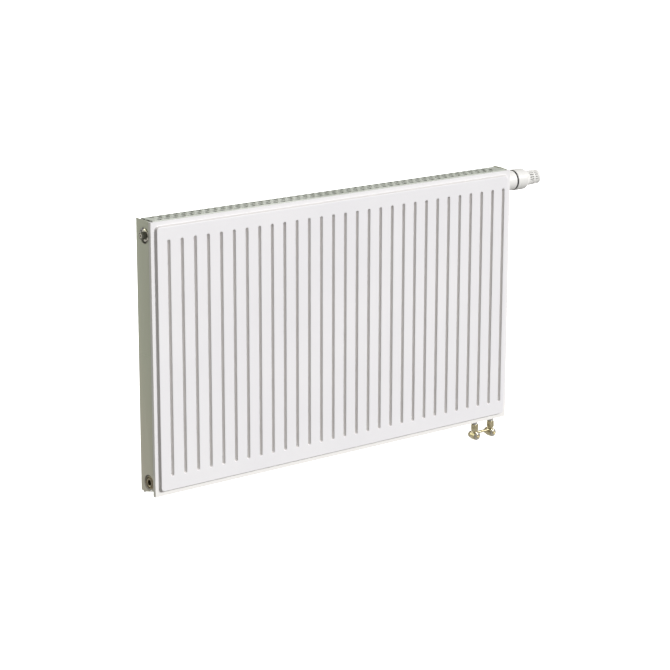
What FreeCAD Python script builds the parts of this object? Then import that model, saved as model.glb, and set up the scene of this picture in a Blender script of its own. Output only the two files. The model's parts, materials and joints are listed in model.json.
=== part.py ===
"""Panel radiator, two panels and one convector, with a built-in thermostatic valve and a shut-off block.

Frame: +Z up, +X along the length towards the thermostatic head, -Y towards the room, +Y towards the wall.
The origin is the centre of the four hanging lugs, on the plane of their outer faces.
All lengths are in millimetres and all angles in degrees.
"""

import FreeCAD, Part
import os
import re

import Sketcher

SIZES = {
    # whole radiator
    "length": 1000,
    "height": 600,
    "pack_depth": 62,  # raised face of the front panel to back face of the rear panel
    # pressed panels
    "sheet": 1.2,
    "rim_width": 9,
    "outer_rise": 6.5,
    "inner_rise": 5.3,
    "wall_angle": 26,  # slope of every pressed wall
    "corner_radius": 10,
    "channel_pitch": 33.333333,
    "first_groove": 40.5,  # left edge to the first groove of the front panel
    "edge_margins": 60,  # least plain width beside the outermost grooves, both ends together
    "weld_width": 2,
    "groove_top": 44,
    "groove_bottom": 46,
    "flange_depth": 7,
    "rear_inset": 2.3,
    # convector
    "fin_sheet": 0.6,
    "fin_flat": 14,
    "fin_gap": 0.5,
    "fin_margin": 50,
    "fin_stop": 112,
    # top grille
    "grille_proud": 2.5,
    "grille_sheet": 0.8,
    "grille_drop": 7,
    "grille_gap": 0.3,
    "grille_left": 7,
    "grille_right": 12,
    "oval_pitch": 20,
    "oval_length": 14,
    "oval_width": 11,
    "oval_rows": 14,
    # side covers
    "cover_sheet": 1,
    "cover_front": 15,
    "cover_flange": 4,
    "cover_foot": 4,
    "cover_seam": 308,
    "seam_gap": 0.4,
    "tongue_overlap": 12,
    "tongue_inset": 3,
    "tab_length": 14,
    "tab_width": 20,
    "tab_drop": 2.6,
    "cover_slope_run": 24,
    "cover_slope_drop": 2.5,
    "cover_chamfer_run": 28,
    "cover_chamfer_rise": 7,
    "port_hole": 17.5,
    # plastic clips between covers and grille
    "clip_length": 9,
    "clip_width": 8,
    "clip_bite": 5,
    "clip_lip": 1.3,
    # threaded corners
    "port_drop": 33,
    "port_rise": 27,
    "port_face": 4.5,  # set-back of the corner block's face from the end of the radiator
    "port_bore": 10.5,
    "port_depth": 20,
    "tee_radius": 15.5,
    "tee_length": 30,
    "tee_wall": 4,
    "neck_offset": 20,
    "neck_radius": 10,
    "neck_bore": 7,
    "fixed_gap": 0.1,
    "running_gap": 0.08,
    # plugs
    "plug_radius": 15.2,
    "plug_rim": 4,
    "plug_thread": 12,
    "plug_key": 12,
    "plug_key_depth": 7,
    "vent_key": 25,
    "vent_neck": 5,
    "vent_reach": 9,
    "vent_bore": 2.5,
    "nozzle_radius": 8.5,
    "spout_radius": 2.2,
    "spout_reach": 10.5,
    "outlet_radius": 1.1,
    "vent_screw_set_back": 2.2,
    "slot_width": 1.2,
    "slot_depth": 1.4,
    "oring_wire": 1,
    # valve housing and insert
    "housing_length": 41.5,
    "seat_offset": 30,
    "seat_bore": 6,
    "seat_wall": 3,
    "outlet_offset": 38.5,
    "outlet_neck": 7.5,
    "outlet_bore": 5.5,
    "insert_tail": 22,
    "insert_key": 13,
    "insert_neck": 11,
    "head_thread": 14.9,
    "head_thread_start": 3,
    "head_thread_end": 12,
    "guide_wall": 4,
    "spring_chamber": 6,
    "gland_radius": 7,
    "gland_start": 2,
    "spindle_radius": 3,
    "spindle_end": 0.5,
    "collar_offset": 5,
    "collar_thick": 1.5,
    "collar_radius": 5.4,
    "tip_radius": 1.5,
    "rest_opening": 2.5,
    "washer_radius": 7.5,
    "washer_thick": 2,
    "cone_radius": 8,
    "cone_thick": 1.5,
    "pin_radius": 1.5,
    "pin_reach": 14.9,
    "return_radius": 4.4,
    "return_wire": 0.45,
    "return_turns": 6,
    "spring_gap": 0.2,
    # thermostatic head
    "nut_radius": 18,
    "nut_start": 2.5,
    "nut_lip": 1.9,
    "base_radius": 23,
    "base_wall": 1.8,
    "base_start": 1,
    "base_end": 26,
    "base_web": 2,
    "base_flange": 14.6,
    "flange_thick": 2,
    "sleeve_bore": 11.5,
    "sleeve_wall": 1.9,
    "sleeve_end": 50,
    "ring_width": 3,
    "ring_radius": 23.9,
    "handle_gap": 0.3,
    "collar_size": 24.6,
    "collar_end": 58,
    "grip_start": 70,
    "grip_start_radius": 17.6,
    "grip_end_radius": 16.2,
    "handle_end": 106.5,
    "handle_wall": 2,
    "handle_chamfer": 1.2,
    "hub_wall": 1.8,
    "hub_start": 32,
    "hub_end": 49,
    "hub_web": 36,
    "screw_start": 52,
    "screw_end": 78,
    "screw_web": 67,
    "web_thick": 3,
    "slot_count": 20,
    "slot_gap": 2,
    "first_slot": 71.5,
    "first_slot_length": 13,
    "second_slot": 89,
    "second_slot_length": 10,
    "cap_radius": 14,
    "cap_thick": 1.8,
    "ledge_width": 1.4,
    "carrier_start": 22,
    "carrier_end": 82,
    "carrier_wall": 1.7,
    "carrier_lip": 1.5,
    "lip_radius": 7,
    "cartridge_length": 38,
    "plunger_radius": 4,
    "overrun_radius": 7.5,
    "overrun_wire": 0.9,
    "overrun_turns": 5,
    # riser and bottom connections
    "leg_inset": 24.5,
    "leg_spacing": 50,
    "riser_radius": 7.5,
    "riser_wall": 1.5,
    "socket_radius": 10,
    "socket_length": 6,
    "socket_depth": 4,
    "block_half_height": 12,
    "block_half_depth": 11,
    "block_end": 13,
    "nipple_radius": 6.6,
    "nipple_bore": 4,
    "nipple_reach": 20,
    # shut-off block
    "union_key": 16,
    "union_top": 12,
    "union_length": 16,
    "union_lip": 4,
    "tail_radius": 5.2,
    "tail_collar": 2.5,
    "seal_thick": 1.5,
    "leg_radius": 6.4,
    "barrel_drop": 40.3,
    "barrel_radius": 10,
    "barrel_front": 9.5,
    "barrel_back": 6.5,
    "pipe_thread": 8.33,
    "pipe_thread_length": 8,
    "bridge_radius": 3.4,
    "bridge_lift": 6,
    "ball_radius": 6.6,
    "chamber_radius": 7,
    "chamber_back": 6.8,
    "ball_flat": 5.2,
    "bonnet_radius": 6.6,
    "bonnet_depth": 3.6,
    "bonnet_disc": 9.4,
    "disc_thick": 1.2,
    "bonnet_key": 14,
    "bonnet_key_length": 2,
    "stem_radius": 3,
    "stem_head": 4.2,
    "stem_head_length": 2,
    "stem_slot_depth": 1.5,
    "seat_front": 4.2,
    "seat_cone": 5.35,
    "seat_throat": 5.55,
    # hanging lugs
    "lug_depth": 10,
    "lug_sheet": 3,
    "lug_height": 40,
    "lug_web": 34,
    "lug_foot": 11,
    "lug_row": 230,
    "lug_steps": 3,
    "lug_slot_length": 20,
    "lug_slot_width": 9,
}

DERIVED = {
    "half_length": "length / 2",
    "half_height": "height / 2",
    "panel_height": "height - grille_proud",
    "panel_z": "-grille_proud / 2",
    "middle_y": "-(lug_depth + pack_depth / 2)",
    "face_y": "-(lug_depth + pack_depth)",
    "front_seam_y": "face_y + outer_rise + sheet",
    "rear_seam_y": "-(lug_depth + outer_rise + sheet)",
    "neck_reach": "pack_depth / 2 - outer_rise - inner_rise - 2 * sheet",
    "slope": "tan(wall_angle)",
    "groove_count": "floor((length - edge_margins) / channel_pitch) + 1",
    "rear_groove": "(length - (groove_count - 1) * channel_pitch) / 2",
    "top_port_z": "half_height - port_drop",
    "bottom_port_z": "port_rise - half_height",
    "lug_x": "half_length - rear_groove - lug_steps * channel_pitch",
    "riser_x": "half_length - leg_inset",
    "seat_stop": "seat_offset - rest_opening",
    "spring_floor": "insert_tail - guide_wall",
    "sleeve_radius": "sleeve_bore + sleeve_wall",
    "carrier_radius": "sleeve_bore - running_gap",
    "cartridge_radius": "carrier_radius - carrier_wall - fixed_gap",
    "cartridge_start": "carrier_start + carrier_lip",
    "cartridge_end": "cartridge_start + cartridge_length",
    "handle_start": "base_end + ring_width + handle_gap",
    "grip_fall": "(grip_start_radius - grip_end_radius) / (handle_end - handle_chamfer - grip_start)",
    "union_end": "union_top + union_length",
    "tail_top": "nipple_reach + seal_thick",
}

doc = FreeCAD.newDocument("radiator")
sizes = doc.addObject("Spreadsheet::Sheet", "sizes")
parts = []


def fill_sheet():
    """One row per driving size: its name in column A and its plain number, with the alias, in column B."""
    for row, (name, number) in enumerate(SIZES.items(), start=1):
        sizes.set(f"A{row}", name)
        sizes.set(f"B{row}", str(number))
        sizes.setAlias(f"B{row}", name)
    doc.recompute()


def formula(text):
    """The expression text with each size name pointing at its cell and each derived name written out."""

    def expand(match):
        name = match.group(0)
        if name in DERIVED:
            return f"({formula(DERIVED[name])})"
        return f"sizes.{name}" if name in SIZES else name

    return re.sub(r"[a-z][a-z_0-9]*", expand, str(text))


def value(text):
    return float(sizes.evalExpression(formula(text)))


def new_body(label, x=0, y=0, z=0, turned=False):
    """A body placed by formulas; turned faces it to -X, for what sits on the left end."""
    body = doc.addObject("PartDesign::Body", label)
    body.Label = label
    if turned:
        body.Placement.Rotation = FreeCAD.Rotation(FreeCAD.Vector(0, 0, 1), 180)
    for axis, text in zip("xyz", (x, y, z)):
        body.setExpression(f"Placement.Base.{axis}", formula(text))
    return body


def keep(item, label=None):
    """Marks a finished object as a sub-part that gets a file of its own."""
    if label:
        item.Label = label
    parts.append(item)
    return item


def new_sketch(body, plane, offset=0):
    sketch = body.newObject("Sketcher::SketchObject", f"{body.Name}_sketch")
    support = [item for item in body.Origin.OriginFeatures if item.Role == plane][0]
    sketch.AttachmentSupport = [(support, "")]
    sketch.MapMode = "FlatFace"
    sketch.setExpression("AttachmentOffset.Base.z", formula(offset))
    return sketch


def hold_point(sketch, edge, end, point):
    """Ties one end of a sketch edge to the formulas of its two coordinates."""
    for kind, text in zip(("DistanceX", "DistanceY"), point):
        index = sketch.addConstraint(Sketcher.Constraint(kind, -1, 1, edge, end, value(text)))
        sketch.setExpression(f"Constraints[{index}]", formula(text))


def add_loop(sketch, points):
    """A closed run of straight edges through points given as pairs of formulas."""
    corners = [FreeCAD.Vector(value(x), value(y), 0) for x, y in points]
    first = sketch.GeometryCount
    count = len(points)
    for i in range(count):
        sketch.addGeometry(Part.LineSegment(corners[i], corners[(i + 1) % count]))
    for i in range(count):
        edge, after = first + i, first + (i + 1) % count
        sketch.addConstraint(Sketcher.Constraint("Coincident", edge, 2, after, 1))
        hold_point(sketch, edge, 1, points[i])


def loop(body, plane, points, offset=0):
    sketch = new_sketch(body, plane, offset)
    add_loop(sketch, points)
    return sketch


def box_points(x_low, x_high, y_low, y_high):
    return [(x_low, y_low), (x_high, y_low), (x_high, y_high), (x_low, y_high)]


def circles(body, plane, rounds, offset=0):
    """A sketch of circles, each given as formulas for its centre and radius."""
    sketch = new_sketch(body, plane, offset)
    for x, y, radius in rounds:
        centre = FreeCAD.Vector(value(x), value(y), 0)
        edge = sketch.addGeometry(Part.Circle(centre, FreeCAD.Vector(0, 0, 1), value(radius)))
        hold_point(sketch, edge, 3, (x, y))
        index = sketch.addConstraint(Sketcher.Constraint("Radius", edge, value(radius)))
        sketch.setExpression(f"Constraints[{index}]", formula(radius))
    return sketch


def add_slot(sketch, x, y, length, width):
    """A round-ended slot along the sketch's x, centred on x, y."""
    straight = f"(({length}) - ({width})) / 2"
    left, right = f"{x} - {straight}", f"{x} + {straight}"
    low, high = f"{y} - ({width}) / 2", f"{y} + ({width}) / 2"
    radius, up = value(f"({width}) / 2"), FreeCAD.Vector(0, 0, 1)
    first = sketch.GeometryCount

    def at(px, py):
        return FreeCAD.Vector(value(px), value(py), 0)

    sketch.addGeometry(Part.LineSegment(at(left, low), at(right, low)))
    half_turn = (-1.5707963267948966, 1.5707963267948966)
    sketch.addGeometry(Part.ArcOfCircle(Part.Circle(at(right, y), up, radius), *half_turn))
    sketch.addGeometry(Part.LineSegment(at(right, high), at(left, high)))
    other_half = (1.5707963267948966, 4.71238898038469)
    sketch.addGeometry(Part.ArcOfCircle(Part.Circle(at(left, y), up, radius), *other_half))
    line, arc, line_back, arc_back = range(first, first + 4)
    for edge, end, arc_edge, arc_end in (
        (line, 2, arc, 1),
        (line_back, 1, arc, 2),
        (line_back, 2, arc_back, 1),
        (line, 1, arc_back, 2),
    ):
        sketch.addConstraint(Sketcher.Constraint("Coincident", edge, end, arc_edge, arc_end))
    hold_point(sketch, arc, 3, (right, y))
    hold_point(sketch, arc_back, 3, (left, y))
    for edge, end, point in ((line, 1, (left, low)), (line_back, 1, (right, high))):
        hold_point(sketch, edge, end, point)


def rounded_box(body, plane, half_x, half_y, radius, offset):
    """A centred rectangle with four equal round corners."""
    sketch = new_sketch(body, plane, offset)
    hx, hy, r = value(half_x), value(half_y), value(radius)
    up = FreeCAD.Vector(0, 0, 1)
    quarter = 1.5707963267948966
    spots = [(hx - r, hy - r, 0), (r - hx, hy - r, 1), (r - hx, r - hy, 2), (hx - r, r - hy, 3)]
    for x, y, turn in spots:
        circle = Part.Circle(FreeCAD.Vector(x, y, 0), up, r)
        sketch.addGeometry(Part.ArcOfCircle(circle, turn * quarter, (turn + 1) * quarter))
    for arc in range(4):
        start = sketch.Geometry[arc].EndPoint
        end = sketch.Geometry[(arc + 1) % 4].StartPoint
        sketch.addGeometry(Part.LineSegment(start, end))
    for arc in range(4):
        line, after = 4 + arc, (arc + 1) % 4
        sketch.addConstraint(Sketcher.Constraint("Tangent", arc, 2, line, 1))
        sketch.addConstraint(Sketcher.Constraint("Tangent", line, 2, after, 1))
    for arc in range(4):
        signs = ((1, 1), (-1, 1), (-1, -1), (1, -1))[arc]
        x = f"({signs[0]}) * (({half_x}) - ({radius}))"
        y = f"({signs[1]}) * (({half_y}) - ({radius}))"
        hold_point(sketch, arc, 3, (x, y))
    index = sketch.addConstraint(Sketcher.Constraint("Radius", 0, r))
    sketch.setExpression(f"Constraints[{index}]", formula(radius))
    return sketch


def hexagon_points(across_flats):
    reach = f"({across_flats}) / sqrt(3)"
    return [(f"{reach} * cos({60 * k})", f"{reach} * sin({60 * k})") for k in range(6)]


def pad(body, sketch, length, reverse=False, middle=False, taper=None):
    feature = body.newObject("PartDesign::Pad", f"{body.Name}_pad")
    feature.Profile = sketch
    feature.setExpression("Length", formula(length))
    feature.Reversed = reverse
    feature.Midplane = middle
    if taper:
        feature.setExpression("TaperAngle", formula(f"-({taper})"))
    return feature


def pocket(body, sketch, depth=None, reverse=False, taper=None):
    """Cuts against the sketch's normal to the depth; with no depth it cuts through both ways."""
    feature = body.newObject("PartDesign::Pocket", f"{body.Name}_pocket")
    feature.Profile = sketch
    if depth is None:
        feature.Type = "ThroughAll"
        feature.Midplane = True
    else:
        feature.setExpression("Length", formula(depth))
        feature.Reversed = reverse
    if taper:
        feature.setExpression("TaperAngle", formula(f"-({taper})"))
    return feature


def repeat(body, feature, sketch, count, step):
    """Copies a feature along its sketch's horizontal axis."""
    doc.recompute()
    pattern = body.newObject("PartDesign::LinearPattern", f"{body.Name}_row")
    pattern.Originals = [feature]
    pattern.Direction = (sketch, ["H_Axis"])
    pattern.setExpression("Length", formula(f"({count} - 1) * {step}"))
    pattern.setExpression("Occurrences", formula(count))
    body.Tip = pattern
    return pattern


def turn(body, points, plane="XZ_Plane", axis="H_Axis"):
    """A full turn of a profile about one axis of its own sketch."""
    sketch = loop(body, plane, points)
    feature = body.newObject("PartDesign::Revolution", f"{body.Name}_turn")
    feature.Profile = sketch
    feature.ReferenceAxis = (sketch, [axis])
    feature.Angle = 360
    return feature


def turned_piece(label, points, x=0, y=0, z=0, turned=False, plane="XZ_Plane", axis="H_Axis"):
    body = new_body(label, x, y, z, turned)
    turn(body, points, plane, axis)
    return body


def tube_points(start, end, bore, radius):
    """Profile of a plain ring from start to end along its axis."""
    return box_points(start, end, bore, radius)


def coil(label, start, end, radius, wire, turns, x, y, z):
    """A compression spring about X whose round wire stays between start and end."""
    body = new_body(label, x, y, z)
    sketch = circles(body, "XZ_Plane", [(f"{start} + {wire}", radius, wire)])
    feature = body.newObject("PartDesign::AdditiveHelix", f"{label}_helix")
    feature.Profile = sketch
    feature.ReferenceAxis = (sketch, ["H_Axis"])
    feature.Mode = 2
    feature.setExpression("Height", formula(f"{end} - ({start}) - 2 * {wire}"))
    feature.setExpression("Turns", formula(turns))
    return keep(body)


def oring(label, x_seat, ring_radius, wire, x, y, z, turned=False, plane="XZ_Plane"):
    """A round-section seal ring about the axis, centred at x_seat along it."""
    body = new_body(label, x, y, z, turned)
    sketch = circles(body, plane, [(x_seat, ring_radius, wire)])
    feature = body.newObject("PartDesign::Revolution", f"{label}_turn")
    feature.Profile = sketch
    feature.ReferenceAxis = (sketch, ["H_Axis"])
    feature.Angle = 360
    return body


# ---------------------------------------------------------------- pressed panels


def groove_points(x, height, extra):
    """Pointed groove outline at a height above the weld, widened by extra all round."""
    half_width = f"(weld_width / 2 + ({height}) * slope + {extra})"
    spread = f"((({height}) * slope + {extra}) * sqrt(2))"
    top = f"(panel_height / 2 - groove_top + {spread})"
    bottom = f"(-panel_height / 2 + groove_bottom - {spread})"
    left, right = f"{x} - {half_width}", f"{x} + {half_width}"
    return [
        (x, bottom),
        (right, f"{bottom} + {half_width}"),
        (right, f"{top} - {half_width}"),
        (x, top),
        (left, f"{top} - {half_width}"),
        (left, f"{bottom} + {half_width}"),
    ]


def raised_block(body, facing_back, rise, first, base, extra):
    """Raised face with its grooves: a sloped pad from the base height, cut by a row of pointed grooves."""
    sign = "-1" if facing_back else "1"
    drift = f"(sheet - ({base})) * slope - {extra}"
    face = rounded_box(
        body,
        "XZ_Plane",
        f"half_length - rim_width + {drift}",
        f"panel_height / 2 - rim_width + {drift}",
        f"corner_radius + {drift}",
        f"{sign} * ({base})",
    )
    pad(body, face, rise, reverse=facing_back, taper="wall_angle")
    x = f"({first} - half_length)"
    height = f"({base} + {rise} - sheet)"
    outline = groove_points(x, height, extra)
    sketch = loop(body, "XZ_Plane", outline, f"{sign} * ({base} + {rise})")
    groove = pocket(body, sketch, rise, reverse=facing_back, taper="wall_angle")
    repeat(body, groove, sketch, "groove_count", "channel_pitch")


def pressing(label, seam_y, rise, first, facing_back, inset, flanged=False, pierced=False):
    """One pressed half of a panel: flat rim, raised face and grooves, hollow behind, of even sheet.

    Heights count from the seam where the panel's two halves meet, towards the side it faces.
    """
    form = new_body(f"{label}_form", 0, seam_y, "panel_z")
    edge = f"half_length - ({inset})"
    rim = loop(
        form,
        "XZ_Plane",
        box_points(f"-({edge})", edge, "-panel_height / 2", "panel_height / 2"),
    )
    pad(form, rim, "sheet", reverse=facing_back)
    raised_block(form, facing_back, rise, first, "sheet", "0")
    if flanged:
        for low, high in (("-half_length", "sheet - half_length"), ("half_length - sheet", "half_length")):
            strip = loop(
                form,
                "XZ_Plane",
                box_points(low, high, "-panel_height / 2", "panel_height / 2"),
            )
            pad(form, strip, "flange_depth", reverse=not facing_back)
    if pierced:
        left, right = "neck_offset - half_length", "half_length - outlet_offset"
        high, low = "top_port_z - panel_z", "bottom_port_z - panel_z"
        holes = circles(
            form,
            "XZ_Plane",
            [
                (left, high, "neck_bore"),
                (left, low, "neck_bore"),
                (right, high, "outlet_bore"),
                ("riser_x - leg_spacing", low, "outlet_bore"),
            ],
        )
        pocket(form, holes)
    core = new_body(f"{label}_core", 0, seam_y, "panel_z")
    raised_block(core, facing_back, rise, first, "0", "sheet")
    shell = doc.addObject("Part::Cut", label)
    shell.Base = form
    shell.Tool = core
    keep(shell, label)


def make_panels():
    pressing("front_panel_outer_shell", "front_seam_y", "outer_rise", "first_groove", False, "0", True)
    pressing("front_panel_inner_shell", "front_seam_y", "inner_rise", "first_groove", True, "sheet",
             pierced=True)
    pressing("rear_panel_inner_shell", "rear_seam_y", "inner_rise", "rear_groove", False, "rear_inset",
             pierced=True)
    pressing("rear_panel_outer_shell", "rear_seam_y", "outer_rise", "rear_groove", True, "rear_inset")


def make_convector():
    """Folded sheet: each fold has a flat on the front panel and a flat just clear of the rear panel."""
    body = new_body(
        "convector",
        "first_groove + channel_pitch / 2 - half_length",
        "middle_y - neck_reach",
        "fin_margin - half_height",
    )
    depth = "(2 * neck_reach - fin_gap)"
    low, high = "fin_flat / 2", "channel_pitch / 2 - fin_flat / 2"
    points = [
        ("0", "0"),
        (low, "0"),
        (high, f"{depth} - fin_sheet"),
        (f"channel_pitch - ({high})", f"{depth} - fin_sheet"),
        (f"channel_pitch - ({low})", "0"),
        ("channel_pitch", "0"),
        ("channel_pitch", "fin_sheet"),
        (f"channel_pitch - ({low}) + fin_sheet", "fin_sheet"),
        (f"channel_pitch - ({high}) + fin_sheet", depth),
        (f"{high} - fin_sheet", depth),
        (f"{low} - fin_sheet", "fin_sheet"),
        ("0", "fin_sheet"),
    ]
    sketch = loop(body, "XY_Plane", points)
    fold = pad(body, sketch, "panel_height - 2 * fin_margin")
    count = "floor((length - first_groove - channel_pitch / 2 - fin_stop) / channel_pitch)"
    repeat(body, fold, sketch, count, "channel_pitch")
    keep(body)


# ---------------------------------------------------------------- covers and grille


def make_grille():
    """Channel-shaped top grille that drops in between the panels, with three staggered rows of ovals."""
    body = new_body("top_grille", 0, "middle_y", "half_height")
    half = "neck_reach + inner_rise - grille_gap"
    low = "half_length - grille_left"
    length = "length - grille_left - grille_right"
    points = [
        (f"-({half})", "0"),
        (f"-({half})", "-grille_drop"),
        (f"grille_sheet - ({half})", "-grille_drop"),
        (f"grille_sheet - ({half})", "-grille_sheet"),
        (f"{half} - grille_sheet", "-grille_sheet"),
        (f"{half} - grille_sheet", "-grille_drop"),
        (half, "-grille_drop"),
        (half, "0"),
    ]
    section = loop(body, "YZ_Plane", points, f"-({low})")
    pad(body, section, length)
    sketch = new_sketch(body, "XY_Plane")
    for row, shift in (("-oval_rows", "0"), ("0", "oval_pitch / 2"), ("oval_rows", "0")):
        add_slot(sketch, f"oval_pitch + {shift} - ({low})", row, "oval_length", "oval_width")
    ovals = pocket(body, sketch, "2 * grille_sheet")
    count = f"floor(({length} - 2 * oval_pitch) / oval_pitch)"
    repeat(body, ovals, sketch, count, "oval_pitch")
    keep(body)


def cover_section(side, web_depth="cover_flange"):
    """U-shaped section of a side cover in plan, open towards the middle of the radiator."""
    outer = f"({side}) * half_length"
    inner = f"({side}) * (half_length - cover_sheet)"
    lip = f"({side}) * (half_length - {web_depth})"
    front, back = "face_y + cover_front", "-lug_depth"
    return [
        (outer, front),
        (lip, front),
        (lip, f"{front} + cover_sheet"),
        (inner, f"{front} + cover_sheet"),
        (inner, f"{back} - cover_sheet"),
        (lip, f"{back} - cover_sheet"),
        (lip, back),
        (outer, back),
    ]


def make_cover(side, name):
    """One end's side cover: a lower half with a tongue behind the seam and an upper half with a top tab."""
    front, back = "face_y + cover_front", "-lug_depth"
    seam = "cover_seam - half_height"
    inner = f"({side}) * (half_length - cover_sheet)"
    deep = f"({side}) * (half_length - 2 * cover_sheet)"

    lower = new_body(f"side_cover_{name}_lower")
    sketch = loop(lower, "XY_Plane", cover_section(side), "cover_foot - half_height")
    pad(lower, sketch, "cover_seam - cover_foot - seam_gap")
    tongue = box_points(inner, deep, f"{front} + tongue_inset", f"{back} - tongue_inset")
    sketch = loop(lower, "XY_Plane", tongue, f"{seam} - tongue_overlap")
    pad(lower, sketch, "2 * tongue_overlap")
    foot = "cover_foot - half_height"
    corner = [
        (front, foot),
        (f"{front} + cover_chamfer_run", foot),
        (front, f"{foot} + cover_chamfer_rise"),
    ]
    pocket(lower, loop(lower, "YZ_Plane", corner))
    if name == "left":
        pocket(lower, circles(lower, "YZ_Plane", [("middle_y", "bottom_port_z", "port_hole")]))
    keep(lower)

    upper = new_body(f"side_cover_{name}_upper")
    sketch = loop(upper, "XY_Plane", cover_section(side), seam)
    pad(upper, sketch, "height - cover_seam")
    tab_end = f"({side}) * (half_length - tab_length)"
    tab = box_points(inner, tab_end, "middle_y - tab_width / 2", "middle_y + tab_width / 2")
    sketch = loop(upper, "XY_Plane", tab, "half_height - tab_drop")
    pad(upper, sketch, "cover_sheet", reverse=True)
    corner = [
        (front, "half_height"),
        (f"{front} + cover_slope_run", "half_height"),
        (front, "half_height - cover_slope_drop"),
    ]
    pocket(upper, loop(upper, "YZ_Plane", corner))
    pocket(upper, circles(upper, "YZ_Plane", [("middle_y", "top_port_z", "port_hole")]))
    keep(upper)


def make_clips():
    """Plastic clips that bite the covers' top tabs and carry the ends of the grille."""
    clips = []
    top = "half_height - grille_sheet"
    slot_high = "half_height - tab_drop"
    slot_low = "half_height - tab_drop - cover_sheet"
    for side, name in (("-1", "left"), ("1", "right")):
        mouth = f"({side}) * (half_length - tab_length + clip_bite)"
        stop = f"({side}) * (half_length - tab_length - fixed_gap)"
        end = f"({side}) * (half_length - tab_length + clip_bite - clip_length)"
        body = new_body(f"cover_clip_{name}")
        points = [
            (mouth, top),
            (mouth, slot_high),
            (stop, slot_high),
            (stop, slot_low),
            (mouth, slot_low),
            (mouth, f"{slot_low} - clip_lip"),
            (end, f"{slot_low} - clip_lip"),
            (end, top),
        ]
        sketch = loop(body, "XZ_Plane", points, "-(middle_y + clip_width / 2)")
        pad(body, sketch, "clip_width")
        clips.append(body)
    group = doc.addObject("Part::Compound", "cover_clips")
    group.Links = clips
    keep(group, "cover_clips")


# ---------------------------------------------------------------- threaded corners and plugs


def make_tee(label, z):
    """Threaded corner block on the left end: a bored boss with a neck to each panel."""
    body = new_body(label, "-half_length", "middle_y", z, turned=True)
    back = "-(port_face + tee_length)"
    points = [
        (back, "0"),
        (back, "tee_radius"),
        ("-port_face", "tee_radius"),
        ("-port_face", "port_bore"),
        ("-(port_face + port_depth)", "port_bore"),
        ("-(port_face + port_depth)", "port_bore - sheet"),
        (f"{back} + tee_wall", "port_bore - sheet"),
        (f"{back} + tee_wall", "0"),
    ]
    turn(body, points)
    necks = circles(body, "XZ_Plane", [("-neck_offset", "0", "neck_radius")])
    pad(body, necks, "2 * neck_reach", middle=True)
    pocket(body, circles(body, "XZ_Plane", [("-neck_offset", "0", "neck_bore")]))
    bore = circles(body, "YZ_Plane", [("0", "0", "port_bore")], "-port_face")
    pocket(body, bore, "port_depth")
    keep(body)


def plug_thread_points(bore):
    """Threaded shank of a plug with the seal groove under its rim, from its tail to its rim's back face."""
    shank = "port_bore - fixed_gap"
    groove = "port_bore - 2 * oring_wire - 2 * fixed_gap"
    tail = "-(port_face + plug_thread)"
    return [
        (tail, bore),
        (tail, shank),
        ("-(port_face + 2.5 * oring_wire)", shank),
        ("-(port_face + 2.5 * oring_wire)", groove),
        ("-port_face", groove),
    ]


def make_blind_plug():
    place = {"x": "-half_length", "y": "middle_y", "z": "bottom_port_z", "turned": True}
    front = "plug_rim - port_face"
    points = plug_thread_points("0") + [
        ("-port_face", "plug_radius"),
        (f"{front} - oring_wire", "plug_radius"),
        (front, "plug_radius - oring_wire"),
        (front, "plug_radius - 3 * oring_wire"),
        (f"{front} - oring_wire", "plug_radius - 3.5 * oring_wire"),
        (f"{front} - oring_wire", "plug_radius - 5 * oring_wire"),
        (front, "plug_radius - 5.5 * oring_wire"),
        (front, "0"),
    ]
    body = turned_piece("blind_plug", points, **place)
    pocket(body, loop(body, "YZ_Plane", hexagon_points("plug_key"), front), "plug_key_depth")
    keep(body)
    keep(oring("blind_plug_oring", "-(port_face + 1.25 * oring_wire)", "port_bore - oring_wire - fixed_gap",
               "oring_wire - fixed_gap / 2", **place))


def make_vent():
    """Vent plug with its swivelling nozzle and its screw."""
    place = {"x": "-half_length", "y": "middle_y", "z": "top_port_z", "turned": True}
    rim_front = "-0.2 * plug_rim"
    points = plug_thread_points("vent_bore") + [
        ("-port_face", "vent_neck"),
        ("vent_reach", "vent_neck"),
        ("vent_reach", "vent_bore"),
    ]
    body = turned_piece("vent_plug", points, **place)
    hexagon = loop(body, "YZ_Plane", hexagon_points("vent_key"), "-port_face")
    pad(body, hexagon, f"port_face + ({rim_front})")
    pocket(body, circles(body, "YZ_Plane", [("0", "0", "vent_bore")]))
    keep(body)
    keep(oring("vent_plug_oring", "-(port_face + 1.25 * oring_wire)", "port_bore - oring_wire - fixed_gap",
               "oring_wire - fixed_gap / 2", **place))

    nozzle = new_body("vent_nozzle", **place)
    start, end = f"{rim_front} + handle_gap", "vent_reach - handle_gap"
    inner = "vent_neck + running_gap"
    points = [
        (start, inner),
        (end, inner),
        (end, "nozzle_radius - oring_wire"),
        (f"{end} - oring_wire", "nozzle_radius"),
        (start, "nozzle_radius"),
    ]
    turn(nozzle, points)
    middle = f"({start} + {end}) / 2"
    spout = circles(nozzle, "XY_Plane", [(middle, "0", "spout_radius")], "-spout_reach")
    pad(nozzle, spout, f"spout_reach - ({inner}) - sheet")
    outlet = circles(nozzle, "XY_Plane", [(middle, "0", "outlet_radius")], "-spout_reach")
    pocket(nozzle, outlet, "spout_reach", reverse=True)
    keep(nozzle)

    screw = new_body("vent_screw", **place)
    face = "vent_reach - vent_screw_set_back"
    turn(screw, box_points("-(port_face + plug_thread)", face, "0", "vent_bore - running_gap"))
    slot = box_points("-slot_width / 2", "slot_width / 2", "-vent_bore", "vent_bore")
    pocket(screw, loop(screw, "YZ_Plane", slot, face), "slot_depth")
    keep(screw)


# ---------------------------------------------------------------- valve

AT_VALVE = {"x": "half_length", "y": "middle_y", "z": "top_port_z"}


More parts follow.
